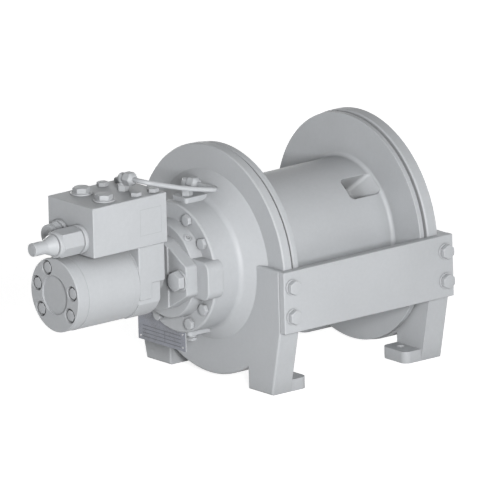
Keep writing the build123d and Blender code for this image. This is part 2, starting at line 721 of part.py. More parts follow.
def foot_holes():
    """Holes of the foot pattern, through the feet."""
    holes = []
    for x in SIDES:
        for y in SIDES:
            place = Pos(x * FOOT_SPACING_X / 2, y * FOOT_SPACING_Y / 2, -AXIS_HEIGHT)
            holes.append(place * round_bar(FOOT_HOLE_DIAMETER / 2, FOOT_THICKNESS))
    return holes


def drill_frame(frame, direction):
    """Frame with the holes of its tie bolts and of the foot pattern."""
    for place in tie_bolt_places(direction):
        frame -= place * bolt_hole(M10, TIE_BOLT_GRIP)
    for hole in foot_holes():
        frame -= hole
    return frame


def brake_cavity():
    """Space for the brake, the shaft's bearing and the shaft, through the brake housing."""
    bearing_end = BRAKE_END_WALL + SHAFT_BEARING[2]
    return turned(
        (HUB_FRONT, 0),
        (HUB_FRONT, PISTON_BORE),
        (PISTON_STEP, PISTON_BORE),
        (PISTON_STEP, DISC_BORE),
        (BRAKE_END_WALL, DISC_BORE),
        (BRAKE_END_WALL, SHAFT_BEARING[1]),
        (bearing_end, SHAFT_BEARING[1]),
        (bearing_end, SHAFT_BEARING[1] - SHAFT_SHOULDER),
        (DRUM_BEARING_X, SHAFT_BEARING[1] - SHAFT_SHOULDER),
        (DRUM_BEARING_X, SPIGOT_RADIUS - SPIGOT_WALL),
        (SPIGOT_END, SPIGOT_RADIUS - SPIGOT_WALL),
        (SPIGOT_END, 0),
    )


def make_drive_frame():
    cone_foot = (HUB_CONE_START, HUB_RADIUS)
    hub = turned(
        (HUB_FRONT, 0),
        (HUB_FRONT, HUB_RADIUS),
        cone_foot,
        (DRIVE_SHIELD_OUTER, HUB_CONE_RADIUS),
        (DRIVE_SHIELD_INNER, HUB_CONE_RADIUS),
        (DRIVE_SHIELD_INNER, SEAL_SEAT),
        (DRUM_BEARING_X, SEAL_SEAT),
        (DRUM_BEARING_X, DRUM_BEARING[0]),
        (SPIGOT_END, DRUM_BEARING[0]),
        (SPIGOT_END, 0),
        rounds=((cone_foot, HUB_CONE_ROUND),),
    )
    pad = RectangleRounded(PORT_PAD_LENGTH, PORT_PAD_WIDTH, PORT_PAD_CORNER)
    pad = Pos(HUB_FRONT + PORT_PAD_INSET + PORT_PAD_LENGTH / 2, 0) * pad
    pads = extrude(pad, amount=PORT_PAD_TOP, both=True)
    frame = frame_blank(-1, DRIVE_SHIELD_INNER, DRIVE_SHIELD_OUTER) + hub + pads - brake_cavity()
    port = Pos(BRAKE_PORT_X, 0, -PORT_PAD_TOP) * round_bar(PIPE_RADIUS, 2 * PORT_PAD_TOP)
    stub = round_bar(STUB_RADIUS + SEAT_CLEARANCE, STUB_LENGTH)
    frame -= port + Pos(BRAKE_PORT_X, 0, PORT_PAD_TOP - STUB_LENGTH) * stub
    for place in around(COVER_BOLT_ANGLES, COVER_BOLT_CIRCLE):
        frame -= Pos(X=COVER_RING_FACE) * place * TO_LEFT * bolt_hole(M8, COVER_BOLT_GRIP)
    return drill_frame(frame, -1)


def make_far_frame():
    boss_radius = TRUNNION_FLANGE + TRUNNION_BOSS_WALL
    rim = (LEG_OUTER_FACE, boss_radius)
    boss = turned(
        (FAR_SHIELD_INNER, 0),
        (FAR_SHIELD_INNER, boss_radius + TRUNNION_BOSS_FLARE),
        (FAR_SHIELD_OUTER, boss_radius + TRUNNION_BOSS_FLARE),
        rim,
        (LEG_OUTER_FACE, 0),
        rounds=((rim, CASTING_ROUND),),
    )
    frame = frame_blank(1, FAR_SHIELD_INNER, FAR_SHIELD_OUTER) + boss
    frame -= ring(FAR_SHIELD_INNER, LEG_OUTER_FACE, 0, TRUNNION_JOURNAL)
    frame -= ring(TRUNNION_SEAT, LEG_OUTER_FACE, 0, TRUNNION_FLANGE + BOLT_CLEARANCE)
    for place in trunnion_bolt_places():
        frame -= place * bolt_hole(M10, TRUNNION_BOLT_GRIP)
    return drill_frame(frame, 1)


def make_tie_plate(side):
    plate = box(
        (-LEG_OUTER_FACE, LEG_OUTER_FACE),
        sorted((side * PAD_FACE, side * (PAD_FACE + TIE_PLATE_THICKNESS))),
        (PAD_BOTTOM, LEG_TOP),
    )
    plate = chamfer(plate.edges(), TIE_PLATE_EDGE)
    for direction in SIDES:
        for place in tie_bolt_places(direction):
            plate -= place * bolt_hole(M10, TIE_PLATE_THICKNESS)
    return plate


# Brake housing cover, brake and its fittings


def make_brake_cover():
    shape = turned(
        (COVER_FACE, 0),
        (COVER_FACE, BOSS_RADIUS - BOSS_EDGE),
        (COVER_FACE + BOSS_EDGE, BOSS_RADIUS),
        (COVER_RING_FACE, BOSS_RADIUS + BOSS_DRAFT),
        (COVER_RING_FACE, HUB_RADIUS - COVER_EDGE),
        (COVER_RING_FACE + COVER_EDGE, HUB_RADIUS),
        (HUB_FRONT, HUB_RADIUS),
        (HUB_FRONT, PISTON_BORE - SEAT_CLEARANCE),
        (HUB_FRONT + COVER_PILOT, PISTON_BORE - SEAT_CLEARANCE),
        (HUB_FRONT + COVER_PILOT, 0),
    )
    reach = HUB_RADIUS + LOBE_REACH
    lobe = Pos(-reach / 2, 0) * RectangleRounded(reach, LOBE_HEIGHT, LOBE_CORNER)
    lobe = slab(lobe, COVER_FACE, HUB_FRONT)
    shape += chamfer(lobe.faces().sort_by(Axis.X)[0].edges(), BOSS_EDGE)
    pilot_end = COVER_FACE + MOTOR_PILOT_HEIGHT + PILOT_SINK_GAP
    shape -= ring(COVER_FACE, pilot_end, 0, MOTOR_PILOT_RADIUS + SEAT_CLEARANCE)
    shape -= ring(COVER_FACE, HUB_FRONT + COVER_PILOT, 0, SLEEVE_RADIUS + COVER_BORE_GAP)
    shape -= ring(SPRING_SEAT, HUB_FRONT + COVER_PILOT, 0, SPRING_OUTER + SPRING_BORE_GAP)
    for place in around(COVER_BOLT_ANGLES, COVER_BOLT_CIRCLE):
        shape -= Pos(X=COVER_RING_FACE) * place * TO_LEFT * bolt_hole(M8, COVER_BOLT_GRIP)
    for side in SIDES:
        place = Pos(COVER_FACE, side * MOTOR_BOLT_SPACING / 2, 0) * TO_LEFT
        shape -= place * bolt_hole(M14, MOTOR_BOLT_DEPTH)
    sink = round_bar(COVER_PLUG_RADIUS + SEAT_CLEARANCE, 2 * COVER_PLUG_SINK)
    return shape - cover_plug_place() * sink


def make_cover_bolts():
    places = around(COVER_BOLT_ANGLES, COVER_BOLT_CIRCLE)
    return [Pos(X=COVER_RING_FACE) * place * TO_LEFT * bolt(M8, COVER_BOLT_GRIP) for place in places]


def cover_plug_place():
    """Seat of the socket plug, sunk radially into the cover's boss."""
    middle = (COVER_FACE + COVER_RING_FACE) / 2
    return Rot(X=COVER_PLUG_ANGLE - 90) * Pos(middle, 0, BOSS_RADIUS - COVER_PLUG_SINK)


def make_cover_plug():
    length = COVER_PLUG_SINK + COVER_PLUG_PROUD
    socket = Pos(Z=length - COVER_PLUG_SOCKET_DEPTH) * hex_bar(COVER_PLUG_SOCKET, COVER_PLUG_SOCKET_DEPTH)
    return cover_plug_place() * (round_bar(COVER_PLUG_RADIUS, length) - socket)


def make_drain_plug():
    """Plug under the brake housing: round collar with a small hexagon below it."""
    plug = stacked(0, (round_bar, DRAIN_PLUG_RADIUS, DRAIN_PLUG_HEIGHT), (hex_bar, *DRAIN_PLUG_HEX))
    return Pos(BRAKE_PORT_X, 0, -PORT_PAD_TOP) * Rot(X=180) * plug


def disc_starts():
    """Start of each brake disc, steel and friction by turns, from the piston to the end wall."""
    return [PISTON_FACE + index * DISC_PITCH for index in range(2 * FRICTION_DISCS + 1)]


def make_steel_discs():
    outer = DISC_BORE - SEAT_CLEARANCE
    return [ring(x, x + DISC_THICKNESS, PISTON_INNER, outer) for x in disc_starts()[0::2]]


def make_friction_discs():
    inner = BRAKE_HUB_RADIUS + SEAT_CLEARANCE
    return [ring(x, x + DISC_THICKNESS, inner, DISC_BORE - LINING_SETBACK) for x in disc_starts()[1::2]]


def make_piston():
    return turned(
        (PISTON_BACK, PISTON_INNER),
        (PISTON_BACK, PISTON_BORE - RUNNING_CLEARANCE),
        (PISTON_SHOULDER, PISTON_BORE - RUNNING_CLEARANCE),
        (PISTON_SHOULDER, DISC_BORE - RUNNING_CLEARANCE),
        (PISTON_FACE, DISC_BORE - RUNNING_CLEARANCE),
        (PISTON_FACE, PISTON_INNER),
    )


def make_disc_springs():
    """Two coned disc springs set tip to tip between the cover and the piston."""
    middle = (SPRING_SEAT + PISTON_BACK) / 2
    springs = []
    for seat, inwards in ((SPRING_SEAT, 1), (PISTON_BACK, -1)):
        springs.append(
            turned(
                (seat, SPRING_OUTER),
                (seat + inwards * SPRING_SHEET, SPRING_OUTER),
                (middle, SPRING_INNER),
                (middle - inwards * SPRING_SHEET, SPRING_INNER),
            )
        )
    return springs


# Gear train


def make_input_shaft():
    sleeve_start = PISTON_FACE - SLEEVE_LENGTH
    hub_end = BRAKE_END_WALL - BRAKE_HUB_SETBACK
    bearing_end = BRAKE_END_WALL + SHAFT_BEARING[2]
    shaft = turned(
        (sleeve_start, 0),
        (sleeve_start, SLEEVE_RADIUS),
        (PISTON_FACE, SLEEVE_RADIUS),
        (PISTON_FACE, BRAKE_HUB_RADIUS),
        (hub_end, BRAKE_HUB_RADIUS),
        (hub_end, SHAFT_BEARING[0] + SHAFT_COLLAR),
        (BRAKE_END_WALL, SHAFT_BEARING[0] + SHAFT_COLLAR),
        (BRAKE_END_WALL, SHAFT_BEARING[0]),
        (bearing_end, SHAFT_BEARING[0]),
        (bearing_end, SHAFT_RADIUS),
        (PLANET_1_X, SHAFT_RADIUS),
        (PLANET_1_X, 0),
    )
    turn = sun_turn(SUN_1_TEETH, PLANET_1_TEETH, PLANET_ANGLES[0])
    shaft += Rot(X=turn) * spur_wheel(SUN_1_TEETH, PLANET_1_X, PLANET_1_WIDTH)
    return shaft - ring(sleeve_start, MOTOR_SHAFT_END, 0, MOTOR_SHAFT_RADIUS + SEAT_CLEARANCE)


def make_planet(teeth, place, start, width, pin_radius):
    wheel = spur_wheel(teeth, start, width) - ring(start, start + width, 0, pin_radius + RUNNING_CLEARANCE)
    centre = Rot(X=place) * Pos(Y=planet_radius(teeth)) * Rot(X=-place)
    return centre * Rot(X=planet_turn(teeth, place)) * wheel


def make_pins(teeth, start, end, pin_radius):
    places = around(PLANET_ANGLES, planet_radius(teeth))
    return [place * ring(start, end, 0, pin_radius) for place in places]


def make_carrier(teeth, planet_start, plate_start, plate, pin_radius, pin_end, bore):
    """Planet carrier: thin ring, bridges between the planets, and the plate that takes the torque."""
    start = planet_start - CARRIER_SIDE_GAP - CARRIER_RING
    plate_end = plate_start + plate
    cage = ring(start, start + CARRIER_RING, CARRIER_INNER, CARRIER_RADIUS)
    cage += ring(plate_start, plate_end, bore, CARRIER_RADIUS)
    bridge = Rectangle(CARRIER_RADIUS - BRIDGE_INNER, BRIDGE_WIDTH)
    bridge = Pos((CARRIER_RADIUS + BRIDGE_INNER) / 2 - BRIDGE_SETBACK, 0) * bridge
    for angle in PLANET_ANGLES:
        cage += Rot(X=angle + 180 / PLANETS) * slab(bridge, start, plate_end)
    for place in around(PLANET_ANGLES, planet_radius(teeth)):
        cage -= place * ring(start, pin_end, 0, pin_radius + SEAT_CLEARANCE)
    return cage


def make_carrier_1():
    bore = SUN_STUB_RADIUS + SEAT_CLEARANCE
    return make_carrier(
        PLANET_1_TEETH, PLANET_1_X, CARRIER_1_X, CARRIER_1_PLATE, PIN_1_RADIUS, CARRIER_1_END, bore
    )


def make_carrier_2():
    cage = make_carrier(
        PLANET_2_TEETH, PLANET_2_X, CARRIER_2_X, CARRIER_2_PLATE, PIN_2_RADIUS, PIN_2_END, TRUNNION_BORE
    )
    head = round_bar(CARRIER_SCREW_HEAD + BOLT_CLEARANCE, CARRIER_SCREW_SINK)
    for place in carrier_screw_places():
        cage -= place * bolt_hole(M8, CARRIER_2_PLATE)
        cage -= place * Pos(Z=-CARRIER_SCREW_SINK) * head
    return cage


def make_pins_1():
    start = PLANET_1_X - CARRIER_SIDE_GAP - CARRIER_RING
    return make_pins(PLANET_1_TEETH, start, CARRIER_1_END, PIN_1_RADIUS)


def make_pins_2():
    start = PLANET_2_X - CARRIER_SIDE_GAP - CARRIER_RING
    return make_pins(PLANET_2_TEETH, start, PIN_2_END, PIN_2_RADIUS)


def carrier_screw_places():
    """Seats of the screws that hold the second carrier to the trunnion's nose."""
    angles = [CARRIER_SCREW_START + 360 / CARRIER_SCREWS * index for index in range(CARRIER_SCREWS)]
    return [place * Pos(X=CARRIER_2_X) * TO_LEFT for place in around(angles, CARRIER_SCREW_CIRCLE)]


def make_carrier_screws():
    head = Pos(Z=-CARRIER_SCREW_SINK) * round_bar(CARRIER_SCREW_HEAD, CARRIER_SCREW_HEIGHT)
    depth = CARRIER_2_PLATE + CARRIER_SCREW_DEPTH
    shank = Pos(Z=-depth) * round_bar(M8[0] / 2, depth - CARRIER_SCREW_SINK)
    return [place * (head + shank) for place in carrier_screw_places()]


def make_sun_2():
    turn = sun_turn(SUN_2_TEETH, PLANET_2_TEETH, PLANET_ANGLES[0])
    wheel = Rot(X=turn) * spur_wheel(SUN_2_TEETH, PLANET_2_X, SUN_2_END - PLANET_2_X)
    return wheel + ring(CARRIER_1_X, PLANET_2_X, 0, SUN_STUB_RADIUS)


def make_trunnion():
    lead = FAR_SHIELD_INNER - TRUNNION_LEAD
    shape = turned(
        (CARRIER_2_END, TRUNNION_BORE),
        (CARRIER_2_END, TRUNNION_NOSE),
        (FAR_BEARING_X, TRUNNION_NOSE),
        (FAR_BEARING_X, FAR_BEARING[0]),
        (FAR_BEARING_END, FAR_BEARING[0]),
        (FAR_BEARING_END, FAR_SEAL_SEAT),
        (lead, FAR_SEAL_SEAT),
        (lead, TRUNNION_JOURNAL - SEAT_CLEARANCE),
        (TRUNNION_SEAT, TRUNNION_JOURNAL - SEAT_CLEARANCE),
        (TRUNNION_SEAT, TRUNNION_FLANGE),
        (LEG_OUTER_FACE, TRUNNION_FLANGE),
        (LEG_OUTER_FACE, 0),
        (TRUNNION_SEAT, 0),
        (TRUNNION_SEAT, TRUNNION_BORE),
    )
    for place in trunnion_bolt_places():
        shape -= place * bolt_hole(M10, TRUNNION_FLANGE_THICKNESS)
    for place in carrier_screw_places():
        shape -= place * bolt_hole(M8, CARRIER_2_PLATE + CARRIER_SCREW_DEPTH + CARRIER_SCREW_GAP)
    return shape


def trunnion_bolt_places():
    """Seats of the bolts on the trunnion's outer flange."""
    angles = [360 / TRUNNION_BOLTS * (index + 0.5) for index in range(TRUNNION_BOLTS)]
    return [place * Pos(X=LEG_OUTER_FACE) * TO_RIGHT for place in around(angles, TRUNNION_BOLT_CIRCLE)]


# Hydraulic motor


def motor_cover_places():
    """Seats of the motor cover's bolts, at the bottom of their counterbores."""
    places = around(MOTOR_COVER_BOLT_ANGLES, MOTOR_COVER_BOLT_CIRCLE)
    return [place * Pos(X=MOTOR_COVER_SEAT) * TO_LEFT for place in places]


def make_motor_cover():
    cover = turned(
        (MOTOR_START, 0),
        (MOTOR_START, MOTOR_COVER_RADIUS - MOTOR_COVER_EDGE),
        (MOTOR_START + MOTOR_COVER_EDGE, MOTOR_COVER_RADIUS),
        (MOTOR_RING_START, MOTOR_COVER_RADIUS),
        (MOTOR_RING_START, 0),
    )
    cover -= ring(MOTOR_START, MOTOR_START + MOTOR_COVER_RECESS_DEPTH, 0, MOTOR_COVER_RECESS)
    for place in motor_cover_places():
        cover -= place * bolt_hole(M8, MOTOR_COVER_THICKNESS)
        cover -= place * round_bar(MOTOR_COUNTERBORE, MOTOR_COVER_THICKNESS)
    return cover


def make_motor_ring():
    body = ring(MOTOR_RING_START, MOTOR_SPACER_START, 0, MOTOR_RADIUS)
    for place in motor_cover_places():
        body -= place * bolt_hole(M8, MOTOR_COVER_BOLT_GRIP)
    return body


def motor_flange_outline():
    """Two-bolt flange: large circle drawn out to the flat ends beyond the bolts."""
    reach, end = MOTOR_FLANGE_REACH, MOTOR_FLANGE_END / 2
    distance = sqrt(reach**2 + end**2)
    lean = acos(MOTOR_FLANGE_RADIUS / distance) + acos(reach / distance)
    touch = (MOTOR_FLANGE_RADIUS * cos(lean), MOTOR_FLANGE_RADIUS * sin(lean))
    ear = polygon((0, 0), (touch[0], -touch[1]), (reach, -end), (reach, end), touch)
    tips = ear.vertices().sort_by(Axis.X)[-2:]
    ear = fillet(tips, MOTOR_FLANGE_CORNER)
    return Circle(MOTOR_FLANGE_RADIUS) + ear + mirror(ear, Plane.YZ)


def motor_port_block():
    """Block on top of the motor's housing that the valve block is bolted to, stepped below."""
    half = BLOCK_DEPTH / 2
    side = polygon(
        (MOTOR_PORT_LEFT, BLOCK_BOTTOM),
        (MOTOR_PORT_LEFT, -MOTOR_PORT_DROP),
        (MOTOR_PORT_LEFT + MOTOR_PORT_STEP_START, -MOTOR_PORT_DROP),
        (MOTOR_PORT_LEFT + MOTOR_PORT_STEP_END, MOTOR_PORT_STEP),
        (MOTOR_PORT_RIGHT, MOTOR_PORT_STEP),
        (MOTOR_PORT_RIGHT, BLOCK_BOTTOM),
    )
    block = Pos(Y=half) * extrude(Plane.XZ * side, amount=2 * half)
    for end in (0, -1):
        block = chamfer(block.faces().sort_by(Axis.Y)[end].edges(), MOTOR_PORT_EDGE)
    return block


def make_motor_housing():
    flange = slab(motor_flange_outline(), MOTOR_FLANGE_FACE, COVER_FACE)
    flange = chamfer(flange.faces().sort_by(Axis.X)[0].edges(), MOTOR_FLANGE_EDGE)
    body = ring(MOTOR_BODY_START, MOTOR_BODY_END, 0, MOTOR_RADIUS)
    body += ring(MOTOR_BODY_END, MOTOR_FLANGE_FACE, 0, MOTOR_NECK_RADIUS) + flange
    body += ring(COVER_FACE, COVER_FACE + MOTOR_PILOT_HEIGHT, 0, MOTOR_PILOT_RADIUS)
    body += motor_port_block()
    body -= ring(MOTOR_BODY_END, COVER_FACE + MOTOR_PILOT_HEIGHT, 0, MOTOR_SHAFT_RADIUS + MOTOR_SHAFT_GAP)
    for side in SIDES:
        place = Pos(MOTOR_FLANGE_FACE, side * MOTOR_BOLT_SPACING / 2, 0) * TO_LEFT
        body -= place * bolt_hole(M14, MOTOR_FLANGE_THICKNESS)
    for place in block_bolt_places():
        body -= place * bolt_hole(M8, BLOCK_BOLT_GRIP)
    return body


def make_motor_shaft():
    start = MOTOR_BODY_END + MOTOR_SHAFT_END_GAP
    return ring(start, MOTOR_SHAFT_END - MOTOR_SHAFT_END_GAP, 0, MOTOR_SHAFT_RADIUS)


def flange_bolt_places():
    """Seats of the two bolts on the motor's flange."""
    return [Pos(MOTOR_FLANGE_FACE, side * MOTOR_BOLT_SPACING / 2, 0) * TO_LEFT for side in SIDES]


# Valve block


def block_bolt_places():
    """Seats of the valve block's bolts on its top face."""
    return [Pos(x, y * BLOCK_BOLT_Y, BLOCK_TOP) for x in BLOCK_BOLT_X for y in SIDES]


def cartridge_place(y):
    """Mouth of a cartridge's bore in the valve block's left face, pointing outwards."""
    return Pos(BLOCK_LEFT, y, CARTRIDGE_Z) * TO_LEFT


def make_valve_block():
    half = BLOCK_DEPTH / 2
    block = box((BLOCK_LEFT, BLOCK_RIGHT), (-half, half), (BLOCK_BOTTOM, BLOCK_TOP))
    block = chamfer(block.edges(), BLOCK_EDGE)
    bore = Pos(Z=-CARTRIDGE_BORE_DEPTH) * round_bar(CARTRIDGE_BORE, CARTRIDGE_BORE_DEPTH)
    spotface = Pos(Z=-SPOTFACE_DEPTH) * round_bar(SPOTFACE_RADIUS, SPOTFACE_DEPTH)
    for y in (CARTRIDGE_Y, SECOND_CARTRIDGE_Y):
        block -= cartridge_place(y) * (bore + spotface)
    for place in block_bolt_places():
        block -= place * bolt_hole(M8, BLOCK_HEIGHT)
    plug_bore = Pos(Z=-PORT_PLUG_BORE_DEPTH) * round_bar(PORT_PLUG_BORE, PORT_PLUG_BORE_DEPTH)
    for place in port_plug_places():
        block -= place * plug_bore
    stub = round_bar(STUB_RADIUS + SEAT_CLEARANCE, STUB_LENGTH)
    return block - Pos(BLOCK_ELBOW_X, 0, BLOCK_TOP - STUB_LENGTH) * stub


def port_plug_places():
    """Mouths of the two plugged ports in the valve block's top."""
    return [Pos(PORT_PLUG_X, side * PORT_PLUG_Y, BLOCK_TOP) for side in SIDES]


def make_port_plugs():
    shank = (round_bar, PORT_PLUG_BORE - SEAT_CLEARANCE, PORT_PLUG_LENGTH)
    plug = stacked(-PORT_PLUG_LENGTH, shank, (round_bar, *PORT_PLUG_COLLAR), (hex_bar, *PORT_PLUG_HEX))
    return [place * plug for place in port_plug_places()]


def cartridge(y, turn, *bars):
    """Cartridge valve: body in the block's bore, collar and hexagon outside."""
    length = CARTRIDGE_DEPTH - SPOTFACE_DEPTH
    shank = (round_bar, CARTRIDGE_BORE - SEAT_CLEARANCE, length)
    return cartridge_place(y) * Rot(Z=turn) * stacked(-CARTRIDGE_DEPTH, shank, *bars)


def make_counterbalance_cartridge():
    bars = ((round_bar, *CARTRIDGE_COLLAR), (hex_bar, *CARTRIDGE_HEX), (round_bar, *CARTRIDGE_NOSE))
    return cartridge(CARTRIDGE_Y, CARTRIDGE_HEX_TURN, *bars)


def make_adjuster_cap():
    """Cap over the counterbalance valve's setting screw."""
    reach = CARTRIDGE_COLLAR[1] + CARTRIDGE_HEX[1] + CARTRIDGE_NOSE[1] - SPOTFACE_DEPTH
    on_seat = (Align.CENTER, Align.CENTER, Align.MIN)
    taper = Cone(CAP_TAPER[0], CAP_STEM[0], CAP_TAPER[1], align=on_seat)
    cap = taper + Pos(Z=CAP_TAPER[1]) * round_bar(*CAP_STEM)
    return cartridge_place(CARTRIDGE_Y) * Pos(Z=reach) * cap


def make_second_cartridge():
    bars = ((round_bar, *SECOND_COLLAR), (hex_bar, *SECOND_HEX), (round_bar, *SECOND_NOSE))
    return cartridge(SECOND_CARTRIDGE_Y, 0, *bars)


# Brake line


def elbow_place(x, seat, turn):
    """Frame of an elbow: origin at its bend, -Y out of its mouth."""
    return Pos(x, 0, seat + ELBOW_RISE) * Rot(Z=turn)


def make_elbow(place):
    neck = (round_bar, ELBOW_NECK, ELBOW_RISE - STUB_COLLAR[1])
    upright = stacked(
        -ELBOW_RISE - STUB_LENGTH, (round_bar, STUB_RADIUS, STUB_LENGTH), (round_bar, *STUB_COLLAR), neck
    )
    mouth = Rot(X=90) * round_bar(ELBOW_NECK, ELBOW_MOUTH)
    socket = Rot(X=90) * Pos(Z=NUT_START) * round_bar(PIPE_RADIUS, PIPE_SOCKET)
    return place * (upright + Sphere(ELBOW_BODY) + mouth - socket)


def make_pipe_nut(place):
    nut = Rot(X=90) * Pos(Z=NUT_START) * hex_bar(NUT_ACROSS, NUT_END - NUT_START)
    hollow = Rot(X=90) * round_bar(ELBOW_NECK, ELBOW_MOUTH)
    through = Rot(X=90) * round_bar(PIPE_RADIUS, NUT_END)
    return place * (nut - hollow - through)


def make_pipe():
    """Bent steel pipe from the valve block's elbow round to the brake port's elbow."""
    start, first = [(block_elbow() * Pos(Y=-reach)).position for reach in (ELBOW_MOUTH, PIPE_FIRST_CORNER)]
    last, end = [(brake_elbow() * Pos(Y=-reach)).position for reach in (PIPE_LAST_CORNER, ELBOW_MOUTH)]
    points = [start, first] + [Vector(*point) for point in PIPE_ROUTE] + [last, end]
    radii = []
    for before, corner, after in zip(points, points[1:], points[2:]):
        turn = (corner - before).get_angle(after - corner)
        shorter = min((corner - before).length, (after - corner).length)
        radii.append(0.45 * shorter / tan(radians(turn) / 2))
    print("pipe bend radii", [round(radius, 1) for radius in radii])
    route = FilletPolyline(*points, radius=radii)
    pipe = sweep(Plane(origin=route @ 0, z_dir=route % 0) * Circle(PIPE_RADIUS), path=route)
    share = pipe.volume / (pi * PIPE_RADIUS**2 * route.length)
    print("pipe length", round(route.length, 1), "volume share", round(share, 4))
    return pipe


def block_elbow():
    return elbow_place(BLOCK_ELBOW_X, BLOCK_TOP, BLOCK_ELBOW_TURN)


def brake_elbow():
    return elbow_place(BRAKE_PORT_X, PORT_PAD_TOP, BRAKE_ELBOW_TURN)


# Nameplate


def make_bracket():
    start = HUB_FRONT + BRACKET_SETBACK
    sheet = box(
        (start, start + BRACKET_SHEET), (NAMEPLATE_FRONT, NAMEPLATE_REAR), (NAMEPLATE_BOTTOM, NAMEPLATE_TOP)
    )
    return sheet - ring(HUB_FRONT, HUB_CONE_START, 0, HUB_RADIUS)


def make_nameplate():
    end = HUB_FRONT + BRACKET_SETBACK
    plate = box(
        (end - NAMEPLATE_SHEET, end), (NAMEPLATE_FRONT, NAMEPLATE_REAR), (NAMEPLATE_BOTTOM, NAMEPLATE_TOP)
    )
    return plate - ring(COVER_RING_FACE, HUB_CONE_START, 0, HUB_RADIUS + NAMEPLATE_GAP)


def make_rivets():
    """Rivets in three free corners of the nameplate and below the housing at the fourth."""
    face = HUB_FRONT + BRACKET_SETBACK - NAMEPLATE_SHEET - RIVET_HEIGHT
    front, rear = NAMEPLATE_FRONT + RIVET_INSET, NAMEPLATE_REAR - RIVET_INSET
    low, high = NAMEPLATE_BOTTOM + RIVET_INSET, NAMEPLATE_TOP - RIVET_INSET
    places = ((front, low), (rear, low), (rear, high), (front, -HUB_RADIUS - RIVET_INSET))
    return [Pos(face, y, z) * TO_RIGHT * round_bar(RIVET_RADIUS, RIVET_HEIGHT) for y, z in places]


def build_nodes():
    """Every separate piece by its node name."""
    tie_places = [place for direction in SIDES for place in tie_bolt_places(direction)]
    flange_places = flange_bolt_places()
    shaft_inner, shaft_outer = bearing_rings(SHAFT_BEARING, BRAKE_END_WALL)
    drum_inner, drum_outer = bearing_rings(DRUM_BEARING, DRUM_BEARING_X)
    far_inner, far_outer = bearing_rings(FAR_BEARING, FAR_BEARING_X)
    nodes = {
        "drive_side_frame": make_drive_frame(),
        "far_side_frame": make_far_frame(),
        "front_tie_plate": make_tie_plate(-1),
        "rear_tie_plate": make_tie_plate(1),
        "tie_plate_bolts": [place * bolt(M10, TIE_BOLT_GRIP, M10_WASHER) for place in tie_places],
        "tie_plate_washers": [place * washer_ring(M10, M10_WASHER) for place in tie_places],
        "brake_cover": make_brake_cover(),
        "brake_cover_bolts": make_cover_bolts(),
        "brake_cover_plug": make_cover_plug(),
        "oil_drain_plug": make_drain_plug(),
        "brake_steel_discs": make_steel_discs(),
        "brake_friction_discs": make_friction_discs(),
        "brake_piston": make_piston(),
        "brake_disc_springs": make_disc_springs(),
        "drum": make_drum(),
        "ring_gear": make_ring_gear(),
        "drum_bearing_inner_ring": drum_inner,
        "drum_bearing_outer_ring": drum_outer,
        "far_bearing_inner_ring": far_inner,
        "far_bearing_outer_ring": far_outer,
        "shaft_bearing_inner_ring": shaft_inner,
        "shaft_bearing_outer_ring": shaft_outer,
        "drive_side_seal": make_drive_seal(),
        "far_side_seal": make_far_seal(),
        "input_shaft": make_input_shaft(),
        "first_stage_carrier": make_carrier_1(),
        "first_stage_pins": make_pins_1(),
        "second_stage_sun": make_sun_2(),
        "second_stage_carrier": make_carrier_2(),
        "second_stage_pins": make_pins_2(),
        "carrier_screws": make_carrier_screws(),
        "far_side_trunnion": make_trunnion(),
        "trunnion_bolts": [place * bolt(M10, TRUNNION_BOLT_GRIP) for place in trunnion_bolt_places()],
        "motor_end_cover": make_motor_cover(),
        "motor_cover_bolts": [place * bolt(M8, MOTOR_COVER_BOLT_GRIP) for place in motor_cover_places()],
        "motor_gear_ring": make_motor_ring(),
        "motor_spacer_plate": ring(MOTOR_SPACER_START, MOTOR_BODY_START, 0, MOTOR_RADIUS),
        "motor_housing": make_motor_housing(),
        "motor_shaft": make_motor_shaft(),
        "motor_flange_bolts": [place * bolt(M14, MOTOR_BOLT_GRIP, M14_WASHER) for place in flange_places],
        "motor_flange_washers": [place * washer_ring(M14, M14_WASHER) for place in flange_places],
        "valve_block": make_valve_block(),
        "valve_block_bolts": [place * bolt(M8, BLOCK_BOLT_GRIP) for place in block_bolt_places()],
        "port_plugs": make_port_plugs(),
        "counterbalance_cartridge": make_counterbalance_cartridge(),
        "cartridge_adjuster_cap": make_adjuster_cap(),
        "second_cartridge": make_second_cartridge(),
        "valve_block_elbow": make_elbow(block_elbow()),
        "brake_port_elbow": make_elbow(brake_elbow()),
        "pipe_nuts": [make_pipe_nut(block_elbow()), make_pipe_nut(brake_elbow())],
        "brake_pipe": make_pipe(),
        "nameplate_bracket": make_bracket(),
        "nameplate": make_nameplate(),
        "nameplate_rivets": make_rivets(),
    }
    for index, place in enumerate(PLANET_ANGLES, start=1):
        nodes[f"first_stage_planet_{index}"] = make_planet(
            PLANET_1_TEETH, place, PLANET_1_X, PLANET_1_WIDTH, PIN_1_RADIUS
        )
        nodes[f"second_stage_planet_{index}"] = make_planet(
            PLANET_2_TEETH, place, PLANET_2_X, PLANET_2_WIDTH, PIN_2_RADIUS
        )
    return nodes


os.makedirs("parts", exist_ok=True)
for name, shape in build_nodes().items():
    pieces = shape if isinstance(shape, list) else [shape]
    solids = [solid for piece in pieces for solid in piece.solids()]
    raised = [Pos(Z=AXIS_HEIGHT) * solid for solid in solids]
    export_step(raised[0] if len(raised) == 1 else Compound(children=raised), f"parts/{name}.step")
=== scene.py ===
"""Studio picture of a hydraulic planetary rope winch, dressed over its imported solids.

The drum axis lies along X with the hydraulic motor at -X, the front tie plate at -Y and +Z up.
Sizes are in millimetres, heights are from the drum axis, and meshes are made in metres.
"""

import json
import logging
import math
from collections.abc import Callable, Iterable, Sequence
from dataclasses import dataclass
from enum import Enum

import bmesh
import bpy
from mathutils import Matrix, Vector


